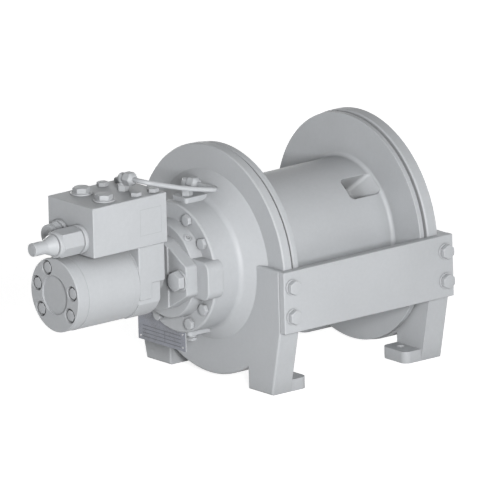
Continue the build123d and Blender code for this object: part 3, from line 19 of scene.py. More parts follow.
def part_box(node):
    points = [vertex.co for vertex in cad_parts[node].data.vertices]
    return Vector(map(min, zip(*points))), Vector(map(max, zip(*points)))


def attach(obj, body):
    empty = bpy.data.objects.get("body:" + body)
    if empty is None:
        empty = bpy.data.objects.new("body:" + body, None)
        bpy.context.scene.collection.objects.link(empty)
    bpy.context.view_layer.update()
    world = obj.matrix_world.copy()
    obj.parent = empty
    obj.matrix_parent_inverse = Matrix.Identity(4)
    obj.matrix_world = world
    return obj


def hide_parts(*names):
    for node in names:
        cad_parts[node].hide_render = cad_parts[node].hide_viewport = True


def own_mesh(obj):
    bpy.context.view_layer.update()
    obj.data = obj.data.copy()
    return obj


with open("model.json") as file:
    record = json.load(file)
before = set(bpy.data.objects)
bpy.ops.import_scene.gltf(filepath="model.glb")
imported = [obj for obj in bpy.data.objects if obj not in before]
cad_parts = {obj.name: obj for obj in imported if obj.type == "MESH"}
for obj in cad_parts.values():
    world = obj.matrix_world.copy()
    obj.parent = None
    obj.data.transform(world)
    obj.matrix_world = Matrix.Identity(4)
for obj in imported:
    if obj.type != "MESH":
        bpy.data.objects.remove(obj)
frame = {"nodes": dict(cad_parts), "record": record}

log = logging.getLogger("rope_winch")

MM = 0.001
AXIS_HEIGHT = 146.0
ROUND_SIDES = 72
FASTENER_SIDES = 48
HOLE_SIDES = 32
SMALL_SIDES = 24
SHARP_ANGLE = 34.0
FLAT_ANGLE = 0.1
CROWN_ANGLE = 30.0
OVERLAP = 5.0
END_SLACK = 1.0
CORNER_SLACK = 0.3
FINE_ROUNDING = 0.25
SOCKET_ROUNDING = 0.2
NEARBY = 1.0
HAIR = 0.1
BOTH_SIDES = (-1.0, 1.0)

# Lengths in metres, for operators that take them directly
AXIS_RADIUS = 1e-6
MERGE_DISTANCE = 4e-6
CAD_MERGE_DISTANCE = 2e-6

Colour = tuple[float, float, float]
Station = tuple[float, float]
Span = tuple[float, float]


# Workbench: places


def at(x: float, y: float, z: float) -> Matrix:
    """Place from a point.

    Args:
        x: Distance along the drum axis.
        y: Distance across, to the rear.
        z: Height above the drum axis.

    Returns:
        The place in metres.
    """
    return Matrix.Translation(Vector((x, y, z + AXIS_HEIGHT)) * MM)


def turn(axis: str, degrees: float) -> Matrix:
    """Turn about one axis.

    Args:
        axis: X, Y or Z.
        degrees: Angle, right-handed.

    Returns:
        The turn as a matrix.
    """
    return Matrix.Rotation(math.radians(degrees), 4, axis)


def from_axis(x: float, y: float, z: float) -> Matrix:
    """Place from a point, before the piece is lifted to the height of the drum axis.

    Args:
        x: Distance along the drum axis.
        y: Distance across, to the rear.
        z: Height above the drum axis.

    Returns:
        The place in metres, with its heights still from the drum axis.
    """
    return Matrix.Translation(Vector((x, y, z)) * MM)


def about_axis(angle: float, radius: float, x: float, outwards: str) -> Matrix:
    """Place on a circle about the drum axis.

    Args:
        angle: Degrees from the rear towards the top.
        radius: Radius of the circle.
        x: Distance along the drum axis.
        outwards: Which way the piece points, "-X" or "+X".

    Returns:
        The place, with its Z pointing outwards.
    """
    face = turn("Y", -90.0 if outwards == "-X" else 90.0)
    return at(x, 0.0, 0.0) @ turn("X", angle) @ from_axis(0.0, radius, 0.0) @ face


LYING = turn("Y", 90.0)
ON_AXIS = at(0.0, 0.0, 0.0)


# Workbench: modelling by operators


def deselect_all() -> None:
    """Leave edit mode and select nothing."""
    if bpy.context.object and bpy.context.object.mode != "OBJECT":
        bpy.ops.object.mode_set(mode="OBJECT")
    bpy.ops.object.select_all(action="DESELECT")


def pick(piece: bpy.types.Object) -> bpy.types.Object:
    """Select one piece alone and make it active.

    Args:
        piece: The object to work on.

    Returns:
        The same object.
    """
    deselect_all()
    piece.select_set(True)
    bpy.context.view_layer.objects.active = piece
    return piece


def settle(piece: bpy.types.Object, place: Matrix | None = None) -> bpy.types.Object:
    """Move a piece to its place and leave its object at the origin.

    Args:
        piece: The piece to move.
        place: Where it goes, or None to keep it where it is.

    Returns:
        The same piece, with its place in its mesh.
    """
    pick(piece)
    if place is not None:
        piece.matrix_world = place @ piece.matrix_world
    bpy.ops.object.transform_apply(location=True, rotation=True, scale=True)
    return piece


def join(pieces: Sequence[bpy.types.Object], name: str) -> bpy.types.Object:
    """Join pieces into one mesh object.

    Args:
        pieces: The objects to join.
        name: Name of the result.

    Returns:
        The joined object.
    """
    deselect_all()
    for piece in pieces:
        piece.select_set(True)
    bpy.context.view_layer.objects.active = pieces[0]
    if len(pieces) > 1:
        bpy.ops.object.join()
    pieces[0].name = name
    return pieces[0]


def copies(piece: bpy.types.Object, places: Iterable[Matrix], name: str) -> bpy.types.Object:
    """Set copies of a piece at several places, as one object.

    Args:
        piece: The piece to repeat, which is used up.
        places: The place of each copy.
        name: Name of the result.

    Returns:
        One object that holds every copy.
    """
    made = []
    for place in places:
        copy = piece.copy()
        copy.data = piece.data.copy()
        bpy.context.scene.collection.objects.link(copy)
        made.append(settle(copy, place))
    bpy.data.objects.remove(piece)
    return join(made, name)


def apply_modifier(piece: bpy.types.Object, kind: str, **settings: object) -> bpy.types.Object:
    """Put one modifier on a piece and apply it.

    Args:
        piece: The piece to change.
        kind: Blender's name of the modifier's type.
        settings: The modifier's settings.

    Returns:
        The changed piece.
    """
    pick(piece)
    modifier = piece.modifiers.new(kind.lower(), kind)
    for setting, value in settings.items():
        setattr(modifier, setting, value)
    bpy.ops.object.modifier_apply(modifier=modifier.name)
    return piece


def round_edges(piece: bpy.types.Object, width: float, segments: int = 2) -> bpy.types.Object:
    """Round a piece's sharp edges.

    Args:
        piece: The piece to work on.
        width: Width of the rounding.
        segments: Steps across the rounding.

    Returns:
        The same piece.
    """
    return apply_modifier(
        piece,
        "BEVEL",
        width=width * MM,
        segments=segments,
        limit_method="ANGLE",
        angle_limit=math.radians(SHARP_ANGLE),
        use_clamp_overlap=True,
        miter_outer="MITER_ARC",
    )


def cuboid(name: str, low: Sequence[float], high: Sequence[float]) -> bpy.types.Object:
    """Square-edged block between two corners.

    Args:
        name: Name of the piece.
        low: Its lowest corner.
        high: Its highest corner.

    Returns:
        The block.
    """
    middle = [(start + end) / 2 * MM for start, end in zip(low, high)]
    deselect_all()
    bpy.ops.mesh.primitive_cube_add(size=1.0, location=middle)
    piece = bpy.context.object
    piece.name = name
    piece.scale = [(end - start) * MM for start, end in zip(low, high)]
    bpy.ops.object.transform_apply(location=True, scale=True)
    return piece


def slice_off(piece: bpy.types.Object, point: Sequence[float], outwards: Sequence[float]) -> bpy.types.Object:
    """Slice off all that lies beyond a plane.

    Args:
        piece: The piece to cut.
        point: A point on the plane.
        outwards: Direction of the part that falls off.

    Returns:
        The same piece.
    """
    pick(piece)
    bpy.ops.object.mode_set(mode="EDIT")
    bpy.ops.mesh.select_all(action="SELECT")
    plane = [value * MM for value in point]
    bpy.ops.mesh.bisect(plane_co=plane, plane_no=outwards, use_fill=True, clear_outer=True)
    bpy.ops.object.mode_set(mode="OBJECT")
    return piece


def spans(first: Vector, second: Vector, axis: int, least: float = NEARBY) -> bool:
    """Tell whether an edge runs some way along an axis.

    Args:
        first: One end of the edge.
        second: Its other end.
        axis: 0, 1 or 2 for X, Y or Z.
        least: How far apart the ends have to be along it.

    Returns:
        Whether they are.
    """
    return abs(first[axis] - second[axis]) > least


def bevel_where(
    piece: bpy.types.Object, width: float, segments: int, chosen: Callable[[Vector, Vector], bool]
) -> bpy.types.Object:
    """Bevel the edges that a test picks out.

    Args:
        piece: The piece to work on.
        width: Width of the bevel.
        segments: Steps across it, 1 for a flat chamfer.
        chosen: Test of an edge's two ends.

    Returns:
        The same piece.
    """
    pick(piece)
    bpy.ops.object.mode_set(mode="EDIT")
    bpy.ops.mesh.select_mode(type="EDGE")
    bpy.ops.mesh.select_all(action="DESELECT")
    shape = bmesh.from_edit_mesh(piece.data)
    for edge in shape.edges:
        first, second = (corner.co / MM for corner in edge.verts)
        edge.select_set(chosen(first, second))
    bmesh.update_edit_mesh(piece.data)
    bpy.ops.mesh.bevel(offset=width * MM, segments=segments, affect="EDGES", clamp_overlap=True)
    bpy.ops.object.mode_set(mode="OBJECT")
    return piece


def boolean(piece: bpy.types.Object, tool: bpy.types.Object, operation: str) -> bpy.types.Object:
    """Join, cut or intersect a piece with a tool body, which is used up.

    Args:
        piece: The piece that stays.
        tool: The body to work with.
        operation: UNION, DIFFERENCE or INTERSECT.

    Returns:
        The changed piece.
    """
    apply_modifier(piece, "BOOLEAN", operation=operation, solver="EXACT", object=tool)
    bpy.data.objects.remove(tool)
    return piece


def shade(piece: bpy.types.Object) -> bpy.types.Object:
    """Shade a piece smooth except across sharp edges, with its flat faces kept flat.

    Args:
        piece: The piece to shade.

    Returns:
        The same piece.
    """
    pick(piece)
    bpy.ops.object.shade_smooth_by_angle(angle=math.radians(SHARP_ANGLE))
    return apply_modifier(piece, "WEIGHTED_NORMAL", mode="FACE_AREA_WITH_ANGLE", keep_sharp=True)


def turned(name: str, stations: Sequence[Station], sides: int = ROUND_SIDES) -> bpy.types.Object:
    """Turn a profile about Z by drawing a circle out from station to station.

    Args:
        name: Name of the piece.
        stations: Height and radius of each corner of the profile, in order.
        sides: Number of sides of the circle.

    Returns:
        The turned piece, closed where its profile meets the axis or its own start.
    """
    rings = [(height * MM, max(radius * MM, AXIS_RADIUS)) for height, radius in stations]
    height, radius = rings[0]
    deselect_all()
    bpy.ops.mesh.primitive_circle_add(vertices=sides, radius=radius, location=(0.0, 0.0, height))
    piece = bpy.context.object
    piece.name = name
    bpy.ops.object.transform_apply(location=True)
    bpy.ops.object.mode_set(mode="EDIT")
    bpy.ops.mesh.select_all(action="SELECT")
    for next_height, next_radius in rings[1:]:
        bpy.ops.mesh.extrude_region_move(TRANSFORM_OT_translate={"value": (0.0, 0.0, next_height - height)})
        scale = next_radius / radius
        bpy.ops.transform.resize(value=(scale, scale, 1.0), center_override=(0.0, 0.0, next_height))
        height, radius = next_height, next_radius
    bpy.ops.mesh.select_all(action="SELECT")
    bpy.ops.mesh.remove_doubles(threshold=MERGE_DISTANCE)
    bpy.ops.mesh.normals_make_consistent(inside=False)
    bpy.ops.object.mode_set(mode="OBJECT")
    return piece


def rod(name: str, start: float, end: float, radius: float, sides: int = ROUND_SIDES) -> bpy.types.Object:
    """Plain round bar along Z.

    Args:
        name: Name of the piece.
        start: Height of its lower end.
        end: Height of its upper end.
        radius: Its radius.
        sides: Number of sides of the circle.

    Returns:
        The bar.
    """
    return turned(name, [(start, 0.0), (start, radius), (end, radius), (end, 0.0)], sides)


def cad_copy(node: str) -> bpy.types.Object:
    """Copy a node's mesh and merge its loose triangles into one skin.

    Args:
        node: The node to copy.

    Returns:
        The merged copy.
    """
    copy = bpy.data.objects.new(f"{node}_copy", frame["nodes"][node].data.copy())
    bpy.context.scene.collection.objects.link(copy)
    copy.data.materials.clear()
    pick(copy)
    bpy.ops.mesh.customdata_custom_splitnormals_clear()
    bpy.ops.object.mode_set(mode="EDIT")
    bpy.ops.mesh.select_all(action="SELECT")
    bpy.ops.mesh.remove_doubles(threshold=CAD_MERGE_DISTANCE)
    bpy.ops.mesh.dissolve_limited(angle_limit=math.radians(FLAT_ANGLE))
    bpy.ops.object.mode_set(mode="OBJECT")
    return copy


def arc(centre: Station, radius: float, start: float, end: float, steps: int = 5) -> list[Station]:
    """Stations along a circular arc of a turned profile.

    Args:
        centre: Height and radius of the arc's centre.
        radius: Radius of the arc.
        start: First angle in degrees, from the height direction towards growing radius.
        end: Last angle in degrees.
        steps: Number of steps.

    Returns:
        The stations, first and last included.
    """
    angles = [math.radians(start + (end - start) * step / steps) for step in range(steps + 1)]
    return [(centre[0] + radius * math.cos(a), centre[1] + radius * math.sin(a)) for a in angles]


def hexagon(
    name: str, across_flats: float, length: float, crowns: tuple[float, float] = (0.0, 0.94), start: float = 0.0
) -> bpy.types.Object:
    """Hexagonal bar along Z whose corners are turned off to cones.

    Args:
        name: Name of the piece.
        across_flats: Width across its flats.
        length: Length of the bar.
        crowns: Share of the width left round at the lower and the upper end, 0 for a plain end.
        start: Height of the lower end.

    Returns:
        The bar, with a corner towards X.
    """
    corner = across_flats / math.sqrt(3.0)
    deselect_all()
    bpy.ops.mesh.primitive_cylinder_add(
        vertices=6,
        radius=corner * MM,
        depth=length * MM,
        location=(0.0, 0.0, (start + length / 2) * MM),
        rotation=(0.0, 0.0, math.radians(30.0)),
    )
    bar = bpy.context.object
    bar.name = name
    settle(bar)
    reach, end = corner + CORNER_SLACK, start + length
    low, high = (share * across_flats / 2 for share in crowns)
    slope = math.tan(math.radians(CROWN_ANGLE))
    foot = [(start, 0.0), (start, low), (start + (reach - low) * slope, reach)]
    head = [(end - (reach - high) * slope, reach), (end, high), (end, 0.0)]
    plain_foot = [(start - END_SLACK, 0.0), (start - END_SLACK, reach)]
    plain_head = [(end + END_SLACK, reach), (end + END_SLACK, 0.0)]
    tool = turned("cone", (foot if crowns[0] else plain_foot) + (head if crowns[1] else plain_head))
    return boolean(bar, tool, "INTERSECT")


# Finishes: shader parts


@dataclass(frozen=True)
class Clouds:
    """Cloudy noise: clouds per metre, the number of finer layers and their strength."""

    scale: float | bpy.types.NodeSocket
    layers: float
    strength: float = 0.5


# Noises of the finishes

BROAD_CLOUD = Clouds(11.0, 3.0)
MOTTLE = Clouds(240.0, 2.0)
ORANGE_PEEL = Clouds(1700.0, 1.0)
WORN_PATCH = Clouds(95.0, 3.0, 0.6)
OIL_FILM = Clouds(38.0, 3.0, 0.6)
BROAD_RING = Clouds(160.0, 1.0)
FADED_CLOUD = Clouds(30.0, 2.0)

# Factors on a finish's own colour

# Paler tone of worn edges, which is also a painted highlight on them
WORN_EDGE_HIGHLIGHT = (1.22, 1.22, 1.21, 1.0)
# Darker tone of the painted shade in corners and hollows
PAINTED_CORNER_SHADE = (0.5, 0.49, 0.48, 1.0)
OIL_TINT = (0.8, 0.78, 0.72, 1.0)
BRIGHT_EDGE = (1.25, 1.25, 1.25, 1.0)
OUTLINE_TINT = (0.8, 0.8, 0.8, 1.0)
CLOUD_SHADES = (0.965, 1.03)
MOTTLE_SHADES = (0.982, 1.014)
STREAK_SHADES = (0.9, 1.06)
FADED_SHADES = (0.9, 1.1)

# Ranges of roughness, and what wear, dust and oil add to it

SATIN = (0.45, 0.54)
GROUND = (0.24, 0.38)
MATT = (0.62, 0.84)
DUST_ROUGHNESS = 0.2
WEAR_ROUGHNESS = -0.06
OIL_ROUGHNESS = -0.08

# Ranges of a noise or mask, and the shares of an effect that they are carried over to

NOISE_MIDDLE = (0.3, 0.7)
PATCH_RANGE = (0.36, 0.62)
PATCH_SHARES = (0.25, 1.0)
# Ambient occlusion values over which the painted corner shade comes in
PAINTED_SHADE_RANGE = (0.75, 0.15)
EDGE_RANGE = (0.985, 0.8)
OIL_RANGE = (0.45, 0.7)
OIL_SHARE = 0.7
BRIGHT_SHARE = 0.6
FLECK_RANGE = (0.4, 0.62)
NONE_TO_ALL = (0.0, 1.0)
PEEL_SHARE = 0.3
BROAD_RING_SHARE = 0.6

# Depths of relief, widths of edges and how far the painted shade and dust of a corner reach, in millimetres

STEEL_RELIEF = 0.01
SPECKLE_RELIEF = 0.03
ENAMEL_EDGE = 0.8
STEEL_EDGE = 0.4
PAINTED_SHADE_REACH = 36.0

# Factors along X, Y and Z that draw grinding streaks out along the drum axis

ALONG_AXIS = (0.08, 1.0, 1.0)

# Rays that soften an edge or look for a corner

SOFT_SAMPLES = 6


@dataclass
class Wiring:
    """Hand tool that wires one node tree."""

    tree: bpy.types.NodeTree

    def node(self, kind: str, sockets: dict[int | str, object] | None = None, **settings: object) -> bpy.types.Node:
        """Add one node.

        Args:
            kind: Blender's name of the node's type.
            sockets: Value or source of each input, by its name or number.
            settings: The node's settings.

        Returns:
            The new node.
        """
        made = self.tree.nodes.new(kind)
        for setting, value in settings.items():
            setattr(made, setting, value)
        for key, value in (sockets or {}).items():
            if isinstance(value, bpy.types.NodeSocket):
                self.tree.links.new(value, made.inputs[key])
            else:
                made.inputs[key].default_value = value
        return made

    def sum(self, operation: str, *values: object) -> bpy.types.NodeSocket:
        """Work out one number from others.

        Args:
            operation: Blender's name of the operation.
            values: Its numbers or sources.

        Returns:
            The result.
        """
        return self.node("ShaderNodeMath", dict(enumerate(values)), operation=operation).outputs[0]

    def noise(self, where: bpy.types.NodeSocket, clouds: Clouds) -> bpy.types.NodeSocket:
        """Cloudy noise.

        Args:
            where: Coordinates that it reads.
            clouds: Its size and grain.

        Returns:
            Its value, near 0.5.
        """
        sockets = {"Vector": where, "Scale": clouds.scale, "Detail": clouds.layers, "Roughness": clouds.strength}
        return self.node("ShaderNodeTexNoise", sockets).outputs["Fac"]

    def stretch(self, value: object, source: Span, result: Span) -> bpy.types.NodeSocket:
        """Carry a range of values over to another.

        Args:
            value: The source.
            source: First and last value of the source's range.
            result: What they become.

        Returns:
            The result, held within its range.
        """
        sockets = {"Value": value, "From Min": source[0], "From Max": source[1]}
        sockets.update({"To Min": result[0], "To Max": result[1]})
        return self.node("ShaderNodeMapRange", sockets).outputs["Result"]

    def tint(self, share: object, first: object, second: object, blend: str = "MIX") -> bpy.types.NodeSocket:
        """Blend two colours.

        Args:
            share: Share of the second colour.
            first: First colour or its source.
            second: Second colour or its source.
            blend: Blender's name of the blending.

        Returns:
            The blended colour.
        """
        sockets = {0: share, 6: first, 7: second}
        return self.node("ShaderNodeMix", sockets, data_type="RGBA", blend_type=blend).outputs[2]

    def multiply(self, first: object, second: object) -> bpy.types.NodeSocket:
        """Multiply two colours, or a colour by a number.

        Args:
            first: First colour or its source.
            second: Second colour, number or its source.

        Returns:
            The product.
        """
        return self.tint(1.0, first, second, "MULTIPLY")

    def sway(self, noise: bpy.types.NodeSocket, result: Span) -> bpy.types.NodeSocket:
        """Carry the middle range of a noise over to another range.

        Args:
            noise: The noise, near 0.5.
            result: What its low and high end become.

        Returns:
            The result, held within its range.
        """
        return self.stretch(noise, NOISE_MIDDLE, result)

    def outer_edges(self, radius: float) -> bpy.types.Node:
        """Add the part that finds outer edges.

        Args:
            radius: Width of an edge in millimetres.

        Returns:
            The part, with its mask and its softened normal.
        """
        edges = self.node("ShaderNodeGroup", node_tree=bpy.data.node_groups["outer_edges"])
        edges.inputs["Radius"].default_value = radius * MM
        return edges

    def object_place(self) -> bpy.types.NodeSocket:
        """Object coordinates, in metres."""
        return self.node("ShaderNodeTexCoord").outputs["Object"]

    def stretched_place(self, scale: tuple[float, float, float]) -> bpy.types.NodeSocket:
        """Object coordinates stretched along the axes.

        Args:
            scale: Factor along X, Y and Z.

        Returns:
            The stretched coordinates.
        """
        sockets = {"Vector": self.object_place(), "Scale": scale}
        return self.node("ShaderNodeMapping", sockets).outputs["Vector"]

    def turning_place(self) -> bpy.types.NodeSocket:
        """Coordinates that turning marks follow: distance along and from the drum axis."""
        axes = self.node("ShaderNodeSeparateXYZ", {0: self.object_place()})
        height = self.sum("SUBTRACT", axes.outputs["Z"], AXIS_HEIGHT * MM)
        squares = [self.sum("MULTIPLY", side, side) for side in (axes.outputs["Y"], height)]
        radius = self.sum("SQRT", self.sum("ADD", *squares))
        return self.node("ShaderNodeCombineXYZ", {"X": axes.outputs["X"], "Y": radius}).outputs[0]


def shader_group(
    name: str, inputs: Sequence[tuple[str, object]], outputs: Sequence[str], wire: Callable[..., dict[str, object]]
) -> bpy.types.NodeTree:
    """Build a shader part that several finishes share.

    Args:
        name: Name of the part.
        inputs: Name and starting value of each input; three or more numbers make a colour.
        outputs: Names of its outputs; "Colour" and "Normal" carry three numbers.
        wire: Function of the wiring and the inputs that gives each output's source.

    Returns:
        The node group.
    """
    tree = bpy.data.node_groups.new(name, "ShaderNodeTree")
    for label, value in inputs:
        kind = "NodeSocketColor" if isinstance(value, tuple) else "NodeSocketFloat"
        tree.interface.new_socket(name=label, in_out="INPUT", socket_type=kind).default_value = value
    kinds = {"Colour": "NodeSocketColor", "Normal": "NodeSocketVector"}
    for label in outputs:
        tree.interface.new_socket(name=label, in_out="OUTPUT", socket_type=kinds.get(label, "NodeSocketFloat"))
    wiring = Wiring(tree)
    entry = wiring.node("NodeGroupInput")
    wiring.node("NodeGroupOutput", wire(wiring, entry.outputs))
    return tree


def wire_edges(wiring: Wiring, entry: bpy.types.NodeInputs) -> dict[str, object]:
    """Wire the part that finds outer edges.

    Args:
        wiring: The group's wiring.
        entry: The group's inputs.

    Returns:
        The mask of the edges and the softened normal.
    """
    soft = wiring.node("ShaderNodeBevel", {"Radius": entry["Radius"]}, samples=SOFT_SAMPLES).outputs[0]
    face = wiring.node("ShaderNodeNewGeometry").outputs["Normal"]
    same = wiring.node("ShaderNodeVectorMath", {0: soft, 1: face}, operation="DOT_PRODUCT").outputs["Value"]
    return {"Edge": wiring.stretch(same, EDGE_RANGE, NONE_TO_ALL), "Normal": soft}


def wire_enamel(wiring: Wiring, entry: bpy.types.NodeInputs) -> dict[str, object]:
    """Wire the sprayed enamel: clouds, mottling, cast skin, edges paled by wear and a painted highlight, and painted
    shade with dust in corners.

    Args:
        wiring: The group's wiring.
        entry: The group's inputs.

    Returns:
        The colour, roughness and normal of the coat.
    """
    where = wiring.object_place()
    cloud, mottle = wiring.noise(where, BROAD_CLOUD), wiring.noise(where, MOTTLE)
    skin = wiring.noise(where, Clouds(entry["Grain"], layers=3.0, strength=0.55))
    peel = wiring.noise(where, ORANGE_PEEL)
    edges = wiring.outer_edges(ENAMEL_EDGE)
    reach = {"Distance": PAINTED_SHADE_REACH * MM}
    open_sky = wiring.node("ShaderNodeAmbientOcclusion", reach, samples=SOFT_SAMPLES).outputs["AO"]
    patch = wiring.stretch(wiring.noise(where, WORN_PATCH), PATCH_RANGE, PATCH_SHARES)
    worn_and_highlit = wiring.sum("MULTIPLY", wiring.sum("MULTIPLY", edges.outputs["Edge"], patch), entry["Wear"])
    # Painted shade: ambient occlusion darkens corners and hollows, and the same mask adds dust's roughness
    corner = wiring.sum("MULTIPLY", wiring.stretch(open_sky, PAINTED_SHADE_RANGE, NONE_TO_ALL), entry["Dust"])
    coat = wiring.multiply(entry["Colour"], wiring.sway(cloud, CLOUD_SHADES))
    coat = wiring.multiply(coat, wiring.sway(mottle, MOTTLE_SHADES))
    # Wear and painted highlight: edges are paled in worn patches
    coat = wiring.tint(worn_and_highlit, coat, wiring.multiply(entry["Colour"], WORN_EDGE_HIGHLIGHT))
    colour = wiring.tint(corner, coat, wiring.multiply(entry["Colour"], PAINTED_CORNER_SHADE))
    rough = wiring.sum("ADD", wiring.sway(cloud, SATIN), wiring.sum("MULTIPLY", corner, DUST_ROUGHNESS))
    rough = wiring.sum("ADD", rough, wiring.sum("MULTIPLY", worn_and_highlit, WEAR_ROUGHNESS))
    relief = wiring.sum("ADD", skin, wiring.sum("MULTIPLY", peel, PEEL_SHARE))
    sockets = {"Distance": entry["Relief"], "Height": relief, "Normal": edges.outputs["Normal"]}
    return {"Colour": colour, "Roughness": rough, "Normal": wiring.node("ShaderNodeBump", sockets).outputs[0]}


def wire_turning(wiring: Wiring, entry: bpy.types.NodeInputs) -> dict[str, object]:
    """Wire the fine rings that a lathe leaves.

    Args:
        wiring: The group's wiring.
        entry: The group's inputs.

    Returns:
        The height of the rings.
    """
    where = wiring.turning_place()
    fine = wiring.noise(where, Clouds(entry["Pitch"], layers=2.0, strength=0.7))
    broad = wiring.noise(where, BROAD_RING)
    return {"Height": wiring.sum("ADD", fine, wiring.sum("MULTIPLY", broad, BROAD_RING_SHARE))}


def wire_steel(wiring: Wiring, entry: bpy.types.NodeInputs) -> dict[str, object]:
    """Wire bare steel: grinding streaks, oil film and bright edges.

    Args:
        wiring: The group's wiring.
        entry: The group's inputs.

    Returns:
        The colour, roughness and normal of the steel.
    """
    film = wiring.noise(wiring.object_place(), OIL_FILM)
    streak = wiring.noise(wiring.stretched_place(ALONG_AXIS), Clouds(entry["Streaks"], layers=3.0, strength=0.6))
    ring = wiring.noise(wiring.turning_place(), Clouds(entry["Streaks"], layers=2.0, strength=0.6))
    edges = wiring.outer_edges(STEEL_EDGE)
    colour = wiring.multiply(entry["Colour"], wiring.sway(streak, STREAK_SHADES))
    oily = wiring.multiply(colour, OIL_TINT)
    colour = wiring.tint(wiring.stretch(film, OIL_RANGE, (0.0, OIL_SHARE)), colour, oily)
    bright = wiring.multiply(entry["Colour"], BRIGHT_EDGE)
    colour = wiring.tint(wiring.sum("MULTIPLY", edges.outputs["Edge"], BRIGHT_SHARE), colour, bright)
    smoother = wiring.stretch(film, OIL_RANGE, (0.0, OIL_ROUGHNESS))
    rough = wiring.sum("ADD", wiring.sway(streak, GROUND), smoother)
    marks = wiring.sum("ADD", streak, ring)
    sockets = {"Distance": STEEL_RELIEF * MM, "Height": marks, "Normal": edges.outputs["Normal"]}
    return {"Colour": colour, "Roughness": rough, "Normal": wiring.node("ShaderNodeBump", sockets).outputs[0]}


def wire_speckle(wiring: Wiring, entry: bpy.types.NodeInputs) -> dict[str, object]:
    """Wire a matt pressed or moulded material: grains of two tones.

    Args:
        wiring: The group's wiring.
        entry: The group's inputs.

    Returns:
        The colour, roughness and normal of the material.
    """
    where = wiring.object_place()
    grain = wiring.noise(where, Clouds(entry["Grain"], layers=3.0, strength=0.65))
    cloud = wiring.noise(where, FADED_CLOUD)
    colour = wiring.tint(wiring.stretch(grain, FLECK_RANGE, NONE_TO_ALL), entry["Colour"], entry["Fleck"])
    colour = wiring.multiply(colour, wiring.sway(cloud, FADED_SHADES))
    normal = wiring.node("ShaderNodeBump", {"Distance": SPECKLE_RELIEF * MM, "Height": grain}).outputs[0]
    return {"Colour": colour, "Roughness": wiring.sway(grain, MATT), "Normal": normal}


def build_shader_parts() -> None:
    """Build the shader parts that the finishes share."""
    grey = (0.4, 0.4, 0.4, 1.0)
    coat = ("Colour", "Roughness", "Normal")
    shader_group("outer_edges", [("Radius", ENAMEL_EDGE * MM)], ("Edge", "Normal"), wire_edges)
    # Its last two inputs also paint a highlight on worn edges and shade into corners
    enamel = [("Colour", grey), ("Grain", 420.0), ("Relief", 0.05 * MM), ("Wear", 0.6), ("Dust", 0.6)]
    shader_group("sprayed_enamel", enamel, coat, wire_enamel)
    shader_group("turning_marks", [("Pitch", 900.0)], ("Height",), wire_turning)
    shader_group("bare_steel", [("Colour", grey), ("Streaks", 900.0)], coat, wire_steel)
    shader_group("speckle", [("Colour", grey), ("Fleck", grey), ("Grain", 900.0)], coat, wire_speckle)


# Finishes


class Surface(Enum):
    """Kinds of surface on the winch: what it is, and the name of the record's material slot for it."""

    CASTING = ("casting", "grey_paint")
    MACHINED = ("machined", "grey_paint")
    DRUM = ("drum", "drum_paint")
    FASTENER = ("fastener", "bolt_paint")
    BLOCK = ("block", "valve_paint")
    FITTING = ("fitting", "valve_paint")
    PIPE = ("pipe", "valve_paint")
    GEAR = ("gear", "gear_steel")
    BEARING = ("bearing", "bearing_steel")
    SPRING = ("spring", "spring_steel")
    LINING = ("lining", "friction_lining")
    RUBBER = ("rubber", "seal_rubber")
    FOIL = ("foil", "plate_foil")
    RIVET = ("rivet", "rivet_metal")

    @property
    def label(self) -> str:
        """What the surface is."""
        return self.value[0]

    @property
    def slot(self) -> str:
        """Name of the record's material slot."""
        return self.value[1]


ENAMEL_GREY: Colour = (0.430, 0.444, 0.460)


@dataclass(frozen=True)
class Finish:
    """Node material around one shared shader part."""

    name: str
    part: str
    metallic: float = 0.0
    specular: float = 0.5

    def settings(self) -> dict[str, object]:
        """Values of the shader part's inputs."""
        return {}

    def extra_relief(self, wiring: Wiring, coat: bpy.types.Node) -> bpy.types.NodeSocket:
        """Add the finish's own relief to the shader part's.

        Args:
            wiring: The material's wiring.
            coat: The shader part.

        Returns:
            The normal to shade with.
        """
        return coat.outputs["Normal"]

    def extra_colour(self, wiring: Wiring, coat: bpy.types.Node) -> bpy.types.NodeSocket:
        """Add the finish's own colours to the shader part's.

        Args:
            wiring: The material's wiring.
            coat: The shader part.

        Returns:
            The colour to shade with.
        """
        return coat.outputs["Colour"]

    def material(self) -> bpy.types.Material:
        """Build the material.

        Returns:
            The node material.
        """
        material = bpy.data.materials.new(self.name)
        material.use_nodes = True
        wiring = Wiring(material.node_tree)
        shader = material.node_tree.nodes["Principled BSDF"]
        shader.inputs["Metallic"].default_value = self.metallic
        shader.inputs["Specular IOR Level"].default_value = self.specular
        coat = wiring.node("ShaderNodeGroup", node_tree=bpy.data.node_groups[self.part])
        for label, value in self.settings().items():
            coat.inputs[label].default_value = value
        wiring.tree.links.new(self.extra_colour(wiring, coat), shader.inputs["Base Color"])
        wiring.tree.links.new(coat.outputs["Roughness"], shader.inputs["Roughness"])
        wiring.tree.links.new(self.extra_relief(wiring, coat), shader.inputs["Normal"])
        return material


@dataclass(frozen=True)
class Enamel(Finish):
    """Satin grey enamel sprayed over castings, machined faces and fasteners alike."""

    part: str = "sprayed_enamel"
    colour: Colour = ENAMEL_GREY
    grain: float = 420.0
    relief: float = 0.05
    # Share of paler worn edges, which also paint a highlight
    wear_and_highlight: float = 0.6
    # Share of painted shade in corners, which also adds dust's roughness there
    dust_and_shade: float = 0.6

    def settings(self) -> dict[str, object]:
        """Values of the enamel's inputs."""
        return {
            "Colour": (*self.colour, 1.0),
            "Grain": self.grain,
            "Relief": self.relief * MM,
            "Wear": self.wear_and_highlight,
            "Dust": self.dust_and_shade,
        }


